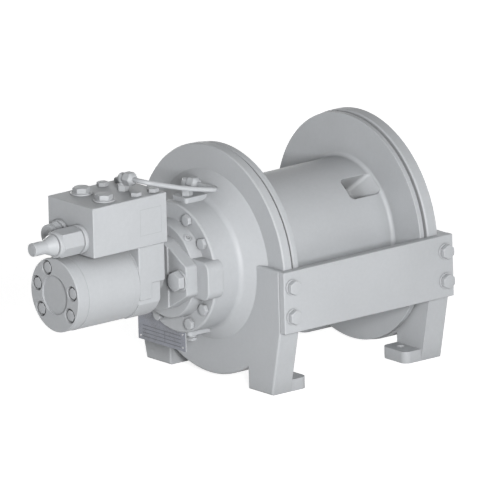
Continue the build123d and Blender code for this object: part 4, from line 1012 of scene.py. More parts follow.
@dataclass(frozen=True)
class TurnedEnamel(Enamel):
    """Enamel thin enough to show the lathe's rings beneath it."""

    pitch: float = 900.0
    ring_depth: float = 0.03

    def extra_relief(self, wiring: Wiring, coat: bpy.types.Node) -> bpy.types.NodeSocket:
        """Add the turning marks.

        Args:
            wiring: The material's wiring.
            coat: The enamel.

        Returns:
            The normal with the rings in it.
        """
        rings = wiring.node("ShaderNodeGroup", node_tree=bpy.data.node_groups["turning_marks"])
        rings.inputs["Pitch"].default_value = self.pitch
        sockets = {"Distance": self.ring_depth * MM, "Height": rings.outputs[0], "Normal": coat.outputs["Normal"]}
        return wiring.node("ShaderNodeBump", sockets).outputs[0]


@dataclass(frozen=True)
class PanelEnamel(Enamel):
    """Enamel on the valve block, with the thin outline of a blank panel on its front."""

    panel_x: tuple[float, float] = (-262.7, -230.7)
    panel_z: tuple[float, float] = (62.8, 95.0)
    front: float = -43.0
    line: float = 0.5

    def outline(self, wiring: Wiring) -> bpy.types.NodeSocket:
        """Mask of the panel's outline.

        Args:
            wiring: The material's wiring.

        Returns:
            1 on the line, 0 elsewhere.
        """
        axes = wiring.node("ShaderNodeSeparateXYZ", {0: wiring.object_place()}).outputs
        gaps = []
        for axis, (low, high), shift in ((axes["X"], self.panel_x, 0.0), (axes["Z"], self.panel_z, AXIS_HEIGHT)):
            middle = ((low + high) / 2 + shift) * MM
            offset = wiring.sum("ABSOLUTE", wiring.sum("SUBTRACT", axis, middle))
            gaps.append(wiring.sum("SUBTRACT", offset, (high - low) / 2 * MM))
        edge = wiring.sum("ABSOLUTE", wiring.sum("MAXIMUM", *gaps))
        line = wiring.sum("LESS_THAN", edge, self.line / 2 * MM)
        return wiring.sum("MULTIPLY", line, wiring.sum("LESS_THAN", axes["Y"], self.front * MM))

    def extra_colour(self, wiring: Wiring, coat: bpy.types.Node) -> bpy.types.NodeSocket:
        """Darken the panel's outline a little.

        Args:
            wiring: The material's wiring.
            coat: The enamel.

        Returns:
            The colour with the outline in it.
        """
        dark = wiring.multiply(coat.outputs["Colour"], OUTLINE_TINT)
        return wiring.tint(self.outline(wiring), coat.outputs["Colour"], dark)


@dataclass(frozen=True)
class Steel(Finish):
    """Bare ground or turned steel with a thin oil film."""

    part: str = "bare_steel"
    metallic: float = 1.0
    colour: Colour = (0.5, 0.5, 0.49)
    streaks: float = 900.0

    def settings(self) -> dict[str, object]:
        """Values of the steel's inputs."""
        return {"Colour": (*self.colour, 1.0), "Streaks": self.streaks}


@dataclass(frozen=True)
class Speckled(Finish):
    """Matt grains of two tones."""

    part: str = "speckle"
    colour: Colour = (0.06, 0.06, 0.06)
    fleck: Colour = (0.08, 0.08, 0.08)
    grain: float = 900.0

    def settings(self) -> dict[str, object]:
        """Values of the grains' inputs."""
        return {"Colour": (*self.colour, 1.0), "Fleck": (*self.fleck, 1.0), "Grain": self.grain}


@dataclass(frozen=True)
class RuledFoil(Steel):
    """Anodised sheet with blank ruled rows."""

    metallic: float = 0.35
    colour: Colour = (0.235, 0.245, 0.28)
    ink: Colour = (0.12, 0.125, 0.14)
    across: tuple[float, float] = (0.0, 73.2)
    heights: tuple[float, float] = (-101.8, -88.0)
    row: float = 4.6
    line: float = 1.3
    divider: float = 0.42

    def extra_colour(self, wiring: Wiring, coat: bpy.types.Node) -> bpy.types.NodeSocket:
        """Rule the blank rows.

        Args:
            wiring: The material's wiring.
            coat: The sheet.

        Returns:
            The colour with its lines.
        """
        axes = wiring.node("ShaderNodeSeparateXYZ", {0: wiring.object_place()}).outputs
        across = wiring.sum("SUBTRACT", axes["Y"], self.across[0] * MM)
        height = wiring.sum("SUBTRACT", axes["Z"], (AXIS_HEIGHT + self.heights[0]) * MM)
        width, reach = (self.across[1] - self.across[0]) * MM, (self.heights[1] - self.heights[0] + self.line) * MM
        rule = wiring.sum("LESS_THAN", wiring.sum("MODULO", height, self.row * MM), self.line * MM)
        inside = [
            wiring.sum("GREATER_THAN", across, 0.0),
            wiring.sum("LESS_THAN", across, width),
            wiring.sum("GREATER_THAN", height, 0.0),
            wiring.sum("LESS_THAN", height, reach),
        ]
        divider = wiring.sum("COMPARE", across, width * self.divider, self.line / 2 * MM)
        ink = wiring.sum("MAXIMUM", rule, divider)
        for bound in inside:
            ink = wiring.sum("MULTIPLY", ink, bound)
        return wiring.tint(ink, coat.outputs["Colour"], (*self.ink, 1.0))


def make_finishes() -> dict[Surface, bpy.types.Material]:
    """Build every finish of the winch once.

    Returns:
        The material of each kind of surface.
    """
    build_shader_parts()
    finishes = {
        Surface.CASTING: TurnedEnamel("cast_enamel", grain=380.0, relief=0.07, ring_depth=0.006),
        Surface.MACHINED: Enamel("machined_enamel", grain=700.0, relief=0.02),
        # The drum's full share of painted shade darkens its rope pocket
        Surface.DRUM: TurnedEnamel("drum_enamel", grain=600.0, relief=0.03, dust_and_shade=1.0, ring_depth=0.02),
        Surface.FASTENER: Enamel("bolt_enamel", grain=900.0, relief=0.02, wear_and_highlight=0.85, dust_and_shade=0.8),
        Surface.BLOCK: PanelEnamel("block_enamel", grain=700.0, relief=0.02),
        Surface.FITTING: Enamel("fitting_enamel", grain=900.0, relief=0.015, wear_and_highlight=0.8),
        Surface.PIPE: Enamel("pipe_enamel", grain=1100.0, relief=0.01, wear_and_highlight=0.3),
        Surface.GEAR: Steel("oiled_gear_steel"),
        Surface.BEARING: Steel("bearing_steel", colour=(0.62, 0.62, 0.62), streaks=1500.0),
        Surface.SPRING: Steel("blackened_spring_steel", colour=(0.16, 0.16, 0.17), streaks=600.0),
        Surface.LINING: Speckled("friction_lining", colour=(0.3, 0.27, 0.23), fleck=(0.16, 0.14, 0.12)),
        Surface.RUBBER: Speckled("seal_rubber", colour=(0.055, 0.055, 0.056), fleck=(0.075, 0.075, 0.076)),
        Surface.FOIL: RuledFoil("ruled_foil", streaks=5000.0),
        Surface.RIVET: Steel("rivet_metal", colour=(0.55, 0.55, 0.56), streaks=1200.0),
    }
    return {surface: finish.material() for surface, finish in finishes.items()}


# Fasteners


@dataclass(frozen=True)
class BoltSize:
    """Hexagon bolt: diameter, width across flats and height of its head, with its washer."""

    diameter: float
    across_flats: float
    head: float
    washer_radius: float = 0.0
    washer: float = 0.0
    seat_ring: float = 0.4
    seat_share: float = 0.47
    shank_point: float = 0.8
    head_root: float = 0.2
    washer_bevels: tuple[float, float] = (0.2, 0.4)
    rounding: float = 0.3

    def bolt(self, depth: float) -> bpy.types.Object:
        """Model one bolt, its head above the origin.

        Args:
            depth: Length of its shank below the seat.

        Returns:
            The bolt.
        """
        radius, base = self.diameter / 2, self.washer
        ring_radius, ring_top = self.seat_share * self.across_flats, base + self.seat_ring
        head = hexagon("head", self.across_flats, self.head - self.seat_ring, start=ring_top)
        profile = [(-depth, 0.0), (-depth, radius - self.shank_point), (-depth + self.shank_point, radius)]
        root = ring_top + self.head_root
        profile += [(base, radius), (base, ring_radius), (root, ring_radius), (root, 0.0)]
        bolt = boolean(head, turned("shank", profile, FASTENER_SIDES), "UNION")
        return round_edges(bolt, self.rounding)

    def washer_ring(self) -> bpy.types.Object:
        """Model one flat washer on the origin."""
        slack, edge, top = self.rounding, self.washer_radius, self.washer
        hole, (inner, outer) = self.diameter / 2 + slack, self.washer_bevels
        profile = [(0.0, hole), (0.0, edge - slack), (slack, edge), (top - outer, edge), (top, edge - outer)]
        return turned("washer", profile + [(top, hole + inner), (top - inner, hole), (0.0, hole)])


M8 = BoltSize(diameter=8.0, across_flats=13.0, head=5.3)
M10 = BoltSize(diameter=10.0, across_flats=16.0, head=6.4, washer_radius=10.0, washer=2.0)
M10_BARE = BoltSize(diameter=10.0, across_flats=16.0, head=6.4)
M14 = BoltSize(diameter=14.0, across_flats=22.0, head=8.8, washer_radius=13.5, washer=2.0)


# Sub-assemblies


def body_of_node(node: str) -> str:
    """Find the body that a node rides on.

    Args:
        node: Name of the node.

    Returns:
        Name of the body.
    """
    return next(body for body, nodes in frame["record"]["behaviour"]["bodies"].items() if node in nodes)


def node_limit(node: str, axis: int, highest: bool) -> float:
    """Reach of a node along one axis.

    Args:
        node: Name of the node.
        axis: 0, 1 or 2 for X, Y or Z.
        highest: Whether the far or the near end is asked for.

    Returns:
        The reach, with heights from the drum axis.
    """
    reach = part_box(node)[1 if highest else 0][axis] / MM
    return reach - AXIS_HEIGHT if axis == 2 else reach


@dataclass
class SubAssembly:
    """Part of the winch that dresses its own nodes."""

    finishes: dict[Surface, bpy.types.Material]

    def coat(self, surface: Surface, *nodes: str) -> None:
        """Give nodes that keep their own shape their finish.

        Args:
            surface: Kind of surface.
            nodes: Names of the nodes.
        """
        for node in nodes:
            for material_slot in frame["nodes"][node].material_slots:
                material_slot.material = self.finishes[surface]
            log.info("coated %s as %s", node, surface.label)

    def replace(self, piece: bpy.types.Object, surface: Surface, node: str) -> bpy.types.Object:
        """Let a modelled piece stand for a node.

        Args:
            piece: The piece, in its place.
            surface: Kind of surface.
            node: Name of the node.

        Returns:
            The dressed piece.
        """
        shade(piece)
        piece.name = f"{node}_modelled"
        piece.data.name = piece.name
        piece.data.materials.clear()
        piece.data.materials.append(self.finishes[surface])
        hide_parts(node)
        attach(piece, body_of_node(node))
        log.info("modelled %s as %s, %d faces", node, surface.label, len(piece.data.polygons))
        return piece

    def build(self) -> None:
        """Build and dress the sub-assembly."""
        raise NotImplementedError


@dataclass
class SideFrames(SubAssembly):
    """Two cast side frames held apart by a front and a rear tie plate."""

    bolt_x: float = 117.3
    bolt_heights: tuple[float, float] = (-7.2, -44.0)
    bolt_tip: float = 121.6
    bolt_turn: float = 30.0
    plate_face: float = 149.6

    def bolt_places(self) -> list[Matrix]:
        """Seats of the tie plates' bolts."""
        places = []
        for side in BOTH_SIDES:
            face = turn("X", -90.0 * side)
            for x in (-self.bolt_x, self.bolt_x):
                places += [at(x, side * self.plate_face, height) @ face for height in self.bolt_heights]
        return places

    def build(self) -> None:
        """Coat the castings and tie plates and model the bolts and washers."""
        self.coat(Surface.CASTING, "drive_side_frame", "far_side_frame")
        self.coat(Surface.MACHINED, "front_tie_plate", "rear_tie_plate")
        places = [place @ turn("Z", self.bolt_turn) for place in self.bolt_places()]
        bolts = copies(M10.bolt(self.plate_face - self.bolt_tip), places, "tie_plate_bolts")
        self.replace(bolts, Surface.FASTENER, "tie_plate_bolts")
        washers = copies(M10.washer_ring(), self.bolt_places(), "tie_plate_washers")
        self.replace(washers, Surface.FASTENER, "tie_plate_washers")


@dataclass
class FarTrunnion(SubAssembly):
    """Flanged trunnion that carries the drum's far end."""

    bolt_circle: float = 55.0
    flange_face: float = 129.7
    bolt_start: float = 22.5
    bolt_step: float = 45.0
    bolt_count: int = 8

    def build(self) -> None:
        """Coat the trunnion and model its bolts."""
        self.coat(Surface.CASTING, "far_side_trunnion")
        depth = self.flange_face - node_limit("trunnion_bolts", 0, False)
        angles = [self.bolt_start + self.bolt_step * turns for turns in range(self.bolt_count)]
        places = [about_axis(angle, self.bolt_circle, self.flange_face, "+X") for angle in angles]
        bolts = copies(M10_BARE.bolt(depth), places, "trunnion_bolts")
        self.replace(bolts, Surface.FASTENER, "trunnion_bolts")


@dataclass
class RopeDrum(SubAssembly):
    """Flanged rope drum with its ring gear, bearings and seals."""

    ends: tuple[float, float] = (-105.5, 96.5)
    flange_thickness: float = 7.5
    flange_radius: float = 139.0
    flange_chamfer: float = 1.5
    flange_edge: float = 0.4
    sides: int = 240
    barrel_radius: float = 86.0
    fillet: float = 5.0
    bearing_seat: float = 80.0
    ring_seat: float = 78.0
    ring: tuple[float, float] = (-74.0, 4.2)
    wall_inner: float = 66.0
    neck_bore: float = 48.0
    neck_start: float = 30.0
    far_seat: float = 55.0
    far_seat_start: float = 71.8
    pocket: tuple[float, float] = (41.8, 87.4)
    pocket_half: float = 15.5
    pocket_floor: tuple[float, float] = (55.0, 62.0)
    pocket_corners: tuple[float, float] = (7.0, 5.0)
    pocket_steps: tuple[int, int] = (10, 4)
    pocket_ramp: tuple[float, float] = (19.6, -13.4)
    pocket_angle: float = 130.5
    pocket_clearance: float = 8.0

    def rope_pocket(self) -> bpy.types.Object:
        """Model the shape of the pocket that takes the rope's end and its wedge.

        Returns:
            The shape to cut out, pointing away from the axis at the pocket's angle.
        """
        (start, end), (deep, shallow), half = self.pocket, self.pocket_floor, self.pocket_half
        top = self.barrel_radius + self.pocket_clearance
        shape = cuboid("pocket", (start, deep - OVERLAP, -half), (end, top, half))
        slice_off(shape, (start, deep, 0.0), Vector((shallow - deep, start - end, 0.0)).normalized())
        slice_off(shape, (end, self.barrel_radius, 0.0), Vector((*self.pocket_ramp, 0.0)).normalized())
        (near, far), (near_steps, far_steps), middle = self.pocket_corners, self.pocket_steps, (start + end) / 2
        bevel_where(shape, near, near_steps, lambda a, b: spans(a, b, 1, half / 3) and max(a.x, b.x) < middle)
        bevel_where(shape, far, far_steps, lambda a, b: spans(a, b, 1, half / 3) and min(a.x, b.x) > middle)
        return settle(shape, turn("X", self.pocket_angle))

    def drum(self) -> bpy.types.Object:
        """Model the drum: flanges, barrel, bearing seats and pocket.

        Returns:
            The drum, in its place.
        """
        left, right = self.ends
        inner_left, inner_right = left + self.flange_thickness, right - self.flange_thickness
        rim, chamfer, root = self.flange_radius, self.flange_chamfer, self.barrel_radius + self.fillet
        edge, bend = self.flange_edge, self.fillet
        profile = [(left, self.bearing_seat), (left, rim - chamfer), (left + chamfer, rim)]
        profile += [(inner_left - edge, rim), (inner_left, rim - edge)]
        profile += arc((inner_left + bend, root), bend, 180.0, 270.0, 10)
        profile += arc((inner_right - bend, root), bend, 270.0, 360.0, 10)
        profile += [(inner_right, rim - edge), (inner_right + edge, rim), (right - chamfer, rim)]
        profile += [(right, rim - chamfer), (right, self.far_seat), (self.far_seat_start, self.far_seat)]
        profile += [(self.far_seat_start, self.neck_bore), (self.neck_start, self.neck_bore)]
        profile += [(self.neck_start, self.wall_inner), (self.ring[1], self.wall_inner)]
        profile += [(self.ring[1], self.ring_seat), (self.ring[0], self.ring_seat)]
        profile += [(self.ring[0], self.bearing_seat), (left, self.bearing_seat)]
        drum = settle(turned("drum", profile, self.sides), LYING)
        return settle(boolean(drum, self.rope_pocket(), "DIFFERENCE"), ON_AXIS)

    def build(self) -> None:
        """Model the drum and coat what turns with it."""
        self.replace(self.drum(), Surface.DRUM, "drum")
        self.coat(Surface.GEAR, "ring_gear")
        self.coat(Surface.RUBBER, "drive_side_seal", "far_side_seal")
        rings = [f"{place}_bearing_{ring}_ring" for place in ("drum", "far") for ring in ("inner", "outer")]
        self.coat(Surface.BEARING, *rings)


@dataclass
class GearTrain(SubAssembly):
    """Two planetary stages inside the drum, from the input shaft to the ring gear."""

    planets: int = 3

    def build(self) -> None:
        """Coat the gears, carriers, pins and shaft."""
        wheels = [f"{stage}_stage_planet_{i + 1}" for stage in ("first", "second") for i in range(self.planets)]
        self.coat(Surface.GEAR, *wheels, "first_stage_carrier", "second_stage_carrier", "second_stage_sun")
        self.coat(Surface.GEAR, "input_shaft", "carrier_screws")
        self.coat(Surface.BEARING, "first_stage_pins", "second_stage_pins")
        self.coat(Surface.BEARING, "shaft_bearing_inner_ring", "shaft_bearing_outer_ring")


@dataclass
class DiscBrake(SubAssembly):
    """Spring-applied disc brake behind its bolted cover."""

    bolt_seat: float = -179.2
    bolt_circle: float = 71.1
    bolt_angles: tuple[float, ...] = (35.0, 65.0, 115.0, 145.0, 215.0, 245.0, 295.0, 325.0)
    plug_x: float = -187.3
    plug_angle: float = 130.0
    plug_seat: float = 54.89
    plug_top: float = 60.49
    plug_radius: float = 5.0
    plug_socket: float = 5.0
    plug_chamfers: tuple[float, float] = (0.5, 0.6)
    socket_depth: float = 2.4
    drain_x: float = -156.6
    drain_seat: float = -85.7
    drain_collar: tuple[Station, ...] = (
        (0.0, 0.0), (0.0, 7.6), (0.4, 8.0), (3.9, 8.0), (4.6, 7.3), (4.6, 5.6), (5.4, 5.6), (5.4, 0.0)
    )
    spring_outer: float = 48.0
    spring_inner: float = 32.0
    spring_sheet: float = 3.0
    release_stroke: float = 1.5

    def build(self) -> None:
        """Coat the brake's parts and model its bolts and plugs."""
        self.coat(Surface.CASTING, "brake_cover")
        self.coat(Surface.GEAR, "brake_steel_discs", "brake_piston")
        self.coat(Surface.LINING, "brake_friction_discs")
        self.fit_springs()
        depth = node_limit("brake_cover_bolts", 0, True) - self.bolt_seat
        places = [about_axis(angle, self.bolt_circle, self.bolt_seat, "-X") for angle in self.bolt_angles]
        self.replace(copies(M8.bolt(depth), places, "cover_bolts"), Surface.FASTENER, "brake_cover_bolts")
        self.replace(self.cover_plug(), Surface.FASTENER, "brake_cover_plug")
        self.replace(self.drain_plug(), Surface.FASTENER, "oil_drain_plug")

    def fit_springs(self) -> None:
        """Model the two coned disc springs in their cone shape; in the brake they flatten as the piston moves back.
        """
        name = "brake_disc_springs"
        seat, back = node_limit(name, 0, False), node_limit(name, 0, True)
        middle, outer, inner, sheet = (seat + back) / 2, self.spring_outer, self.spring_inner, self.spring_sheet
        cone = [(seat, outer), (seat + sheet, outer), (middle, inner), (middle - sheet, inner), (seat, outer)]
        mirrored = [(seat + back - height, radius) for height, radius in cone]
        springs = join([turned("spring", cone), turned("spring", mirrored)], "springs")
        settle(springs, ON_AXIS @ LYING)
        self.replace(springs, Surface.SPRING, name)
        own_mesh(springs)

    def cover_plug(self) -> bpy.types.Object:
        """Model the socket plug in the cover's boss.

        Returns:
            The plug, in its place.
        """
        radius, top = self.plug_radius, self.plug_top - self.plug_seat
        low, high = self.plug_chamfers
        profile = [(0.0, 0.0), (0.0, radius - low), (low, radius)]
        profile += [(top - high, radius), (top, radius - high), (top, 0.0)]
        plug = turned("plug", profile, FASTENER_SIDES)
        socket = hexagon("socket", self.plug_socket, length=3.0, crowns=(0.0, 0.0), start=top - self.socket_depth)
        round_edges(boolean(plug, socket, "DIFFERENCE"), SOCKET_ROUNDING)
        along = from_axis(self.plug_x, 0.0, self.plug_seat)
        return settle(plug, ON_AXIS @ turn("X", self.plug_angle - 90.0) @ along)

    def drain_plug(self) -> bpy.types.Object:
        """Model the drain plug: collar, groove and small hexagon.

        Returns:
            The plug, in its place.
        """
        collar = turned("collar", self.drain_collar, FASTENER_SIDES)
        plug = hexagon("plug", across_flats=13.0, length=4.4, crowns=(0.9, 0.9), start=5.2)
        round_edges(boolean(plug, collar, "UNION"), FINE_ROUNDING)
        return settle(plug, at(self.drain_x, 0.0, self.drain_seat) @ turn("X", 180.0))


@dataclass
class HydraulicMotor(SubAssembly):
    """Gear-ring motor flanged to the brake cover."""

    cover_seat: float = -356.4
    cover_circle: float = 34.8
    cover_angles: tuple[float, ...] = (14.8, 66.5, 166.3, 215.5, 321.2)
    pilot_end: float = -189.4
    pilot_radius: float = 41.2
    flange_start: float = -212.2
    flange_end: float = -195.4
    flange_reach: float = 65.3
    flange_end_half: float = 18.0
    flange_top: tuple[float, float] = (20.0, 44.5)
    bolt_reach: float = 53.2
    pad_start: float = -214.4
    pad_half: float = 31.7
    neck_radius: float = 24.0
    bore_radius: float = 13.0
    bore_cut: float = 1.8
    flange_hole: float = 7.6
    flange_corners: tuple[float, float] = (3.0, 9.0)
    flange_chamfer: float = 1.0
    pad_inset: float = 0.3
    pad_root: float = 6.0
    pilot_root: float = 4.0
    body: tuple[float, float] = (-267.6, -233.9)
    body_radius: float = 47.2
    body_half: float = 41.6
    body_bottom: float = -44.5
    body_top: float = 46.0
    body_shoulder: tuple[float, float] = (2.0, 0.6)
    port: tuple[float, float] = (-266.4, -226.8)
    port_half: float = 43.4
    port_top: float = 48.4
    port_drop: float = -17.8
    port_step: float = 1.6
    port_step_start: float = -247.6
    port_step_end: float = -243.7
    port_rounding: float = 2.5
    port_chamfer: float = 1.0
    port_bolts: tuple[float, float] = (-259.7, -232.8)
    port_bolt_y: float = 31.7
    port_hole: float = 4.1
    hole_depths: tuple[float, float] = (20.0, 14.0)

    def flange_slab(self, start: float, end: float, half: float, shrink: float) -> bpy.types.Object:
        """Model a slab of the two-bolt flange, with slanted shoulders.

        Args:
            start: Face towards the motor.
            end: Face towards the winch.
            half: Half of its reach.
            shrink: How far its outline lies inside the flange's own.

        Returns:
            The slab, with its long edges rounded.
        """
        shoulder, top = self.flange_top
        slab = cuboid("flange", (start, -half, shrink - top), (end, half, top - shrink))
        run, rise = self.flange_reach - shoulder, top - self.flange_end_half
        for across in BOTH_SIDES:
            for up in BOTH_SIDES:
                outwards = Vector((0.0, across * rise, up * run)).normalized()
                corner = Vector((0.0, across * self.flange_reach, up * self.flange_end_half))
                slice_off(slab, corner - outwards * shrink, outwards)
        tips, (sharp, wide) = self.flange_reach - NEARBY, self.flange_corners
        bevel_where(slab, sharp, 4, lambda a, b: spans(a, b, 0) and abs(a.y) > tips and not spans(a, b, 1, HAIR))
        return bevel_where(slab, wide, 6, lambda a, b: spans(a, b, 0) and abs(a.y) < shoulder + NEARBY)

    def port_block(self) -> bpy.types.Object:
        """Model the block that carries the valve block, stepped below.

        Returns:
            The block, with bright chamfers round its front and rear faces.
        """
        start, end = self.port
        block = cuboid("port_block", (start, -self.port_half, self.port_drop), (end, self.port_half, self.port_top))
        reach, drop = self.port_half + OVERLAP, self.port_drop - OVERLAP
        notch = cuboid("notch", (self.port_step_start, -reach, drop), (end + OVERLAP, reach, self.port_step))
        lean = Vector((self.port_drop - self.port_step, 0.0, self.port_step_start - self.port_step_end))
        slice_off(notch, (self.port_step_start, 0.0, self.port_drop), lean.normalized())
        boolean(block, notch, "DIFFERENCE")
        low, face = self.port_step + NEARBY, self.port_half - HAIR
        bevel_where(block, self.port_rounding, 4, lambda a, b: spans(a, b, 1, self.port_half) and a.z < low)
        return bevel_where(block, self.port_chamfer, 1, lambda a, b: not spans(a, b, 1, HAIR) and abs(a.y) > face)

    def round_body(self) -> bpy.types.Object:
        """Model the flat-sided round body, with the neck that leads to the flange.

        Returns:
            The body, with heights from the drum axis.
        """
        start, end = self.body
        radius, (wide, narrow) = self.body_radius, self.body_shoulder
        profile = [(start, 0.0), (start, radius), (end - wide, radius), (end - narrow, radius - narrow)]
        profile += [(end, radius - wide), (end, 0.0)]
        body = settle(turned("body", profile), LYING)
        low = (start - OVERLAP, -self.body_half, self.body_bottom)
        high = (end + OVERLAP, self.body_half, self.body_top)
        boolean(body, cuboid("flats", low, high), "INTERSECT")
        neck = rod("neck", end - OVERLAP, self.flange_start + OVERLAP, self.neck_radius)
        return boolean(body, settle(neck, LYING), "UNION")

    def drill(self, body: bpy.types.Object) -> bpy.types.Object:
        """Cut the shaft's bore and the holes of the flange's and the valve block's bolts.

        Args:
            body: The housing to drill.

        Returns:
            The drilled housing.
        """
        bore = rod("bore", self.body[1] - self.bore_cut, self.pilot_end + OVERLAP, self.bore_radius)
        boolean(body, settle(bore, LYING), "DIFFERENCE")
        flange_depth, port_depth = self.hole_depths
        for side in BOTH_SIDES:
            place = from_axis(self.flange_start, side * self.bolt_reach, 0.0) @ LYING
            hole = rod("hole", -flange_depth, flange_depth, self.flange_hole, HOLE_SIDES)
            boolean(body, settle(hole, place), "DIFFERENCE")
            for x in self.port_bolts:
                place = from_axis(x, side * self.port_bolt_y, self.port_top)
                hole = rod("hole", -port_depth, OVERLAP, self.port_hole, SMALL_SIDES)
                boolean(body, settle(hole, place), "DIFFERENCE")
        return body

    def housing(self) -> bpy.types.Object:
        """Model the housing: flange, neck, flat-sided body and port block.

        Returns:
            The housing, in its place.
        """
        body = self.round_body()
        flange = self.flange_slab(self.flange_start, self.flange_end, self.flange_reach, 0.0)
        bevel_where(flange, self.flange_chamfer, 1, lambda a, b: max(a.x, b.x) < self.flange_start + HAIR)
        boolean(body, flange, "UNION")
        pad = self.flange_slab(self.pad_start, self.flange_start + self.pad_root, self.pad_half, self.pad_inset)
        boolean(body, pad, "UNION")
        pilot = rod("pilot", self.flange_end - self.pilot_root, self.pilot_end, self.pilot_radius)
        boolean(body, settle(pilot, LYING), "UNION")
        boolean(body, self.port_block(), "UNION")
        return settle(self.drill(body), ON_AXIS)

    def build(self) -> None:
        """Coat the motor's body and model its housing, bolts and washers."""
        self.coat(Surface.CASTING, "motor_end_cover")
        self.coat(Surface.MACHINED, "motor_spacer_plate", "motor_gear_ring")
        self.coat(Surface.GEAR, "motor_shaft")
        self.replace(self.housing(), Surface.CASTING, "motor_housing")
        depth = node_limit("motor_cover_bolts", 0, True) - self.cover_seat
        places = [about_axis(angle, self.cover_circle, self.cover_seat, "-X") for angle in self.cover_angles]
        self.replace(copies(M8.bolt(depth), places, "motor_bolts"), Surface.FASTENER, "motor_cover_bolts")
        depth = node_limit("motor_flange_bolts", 0, True) - self.flange_start
        sides = (-self.bolt_reach, self.bolt_reach)
        seats = [at(self.flange_start, side, 0.0) @ turn("Y", -90.0) for side in sides]
        self.replace(copies(M14.bolt(depth), seats, "flange_bolts"), Surface.FASTENER, "motor_flange_bolts")
        washers = copies(M14.washer_ring(), seats, "flange_washers")
        self.replace(washers, Surface.FASTENER, "motor_flange_washers")


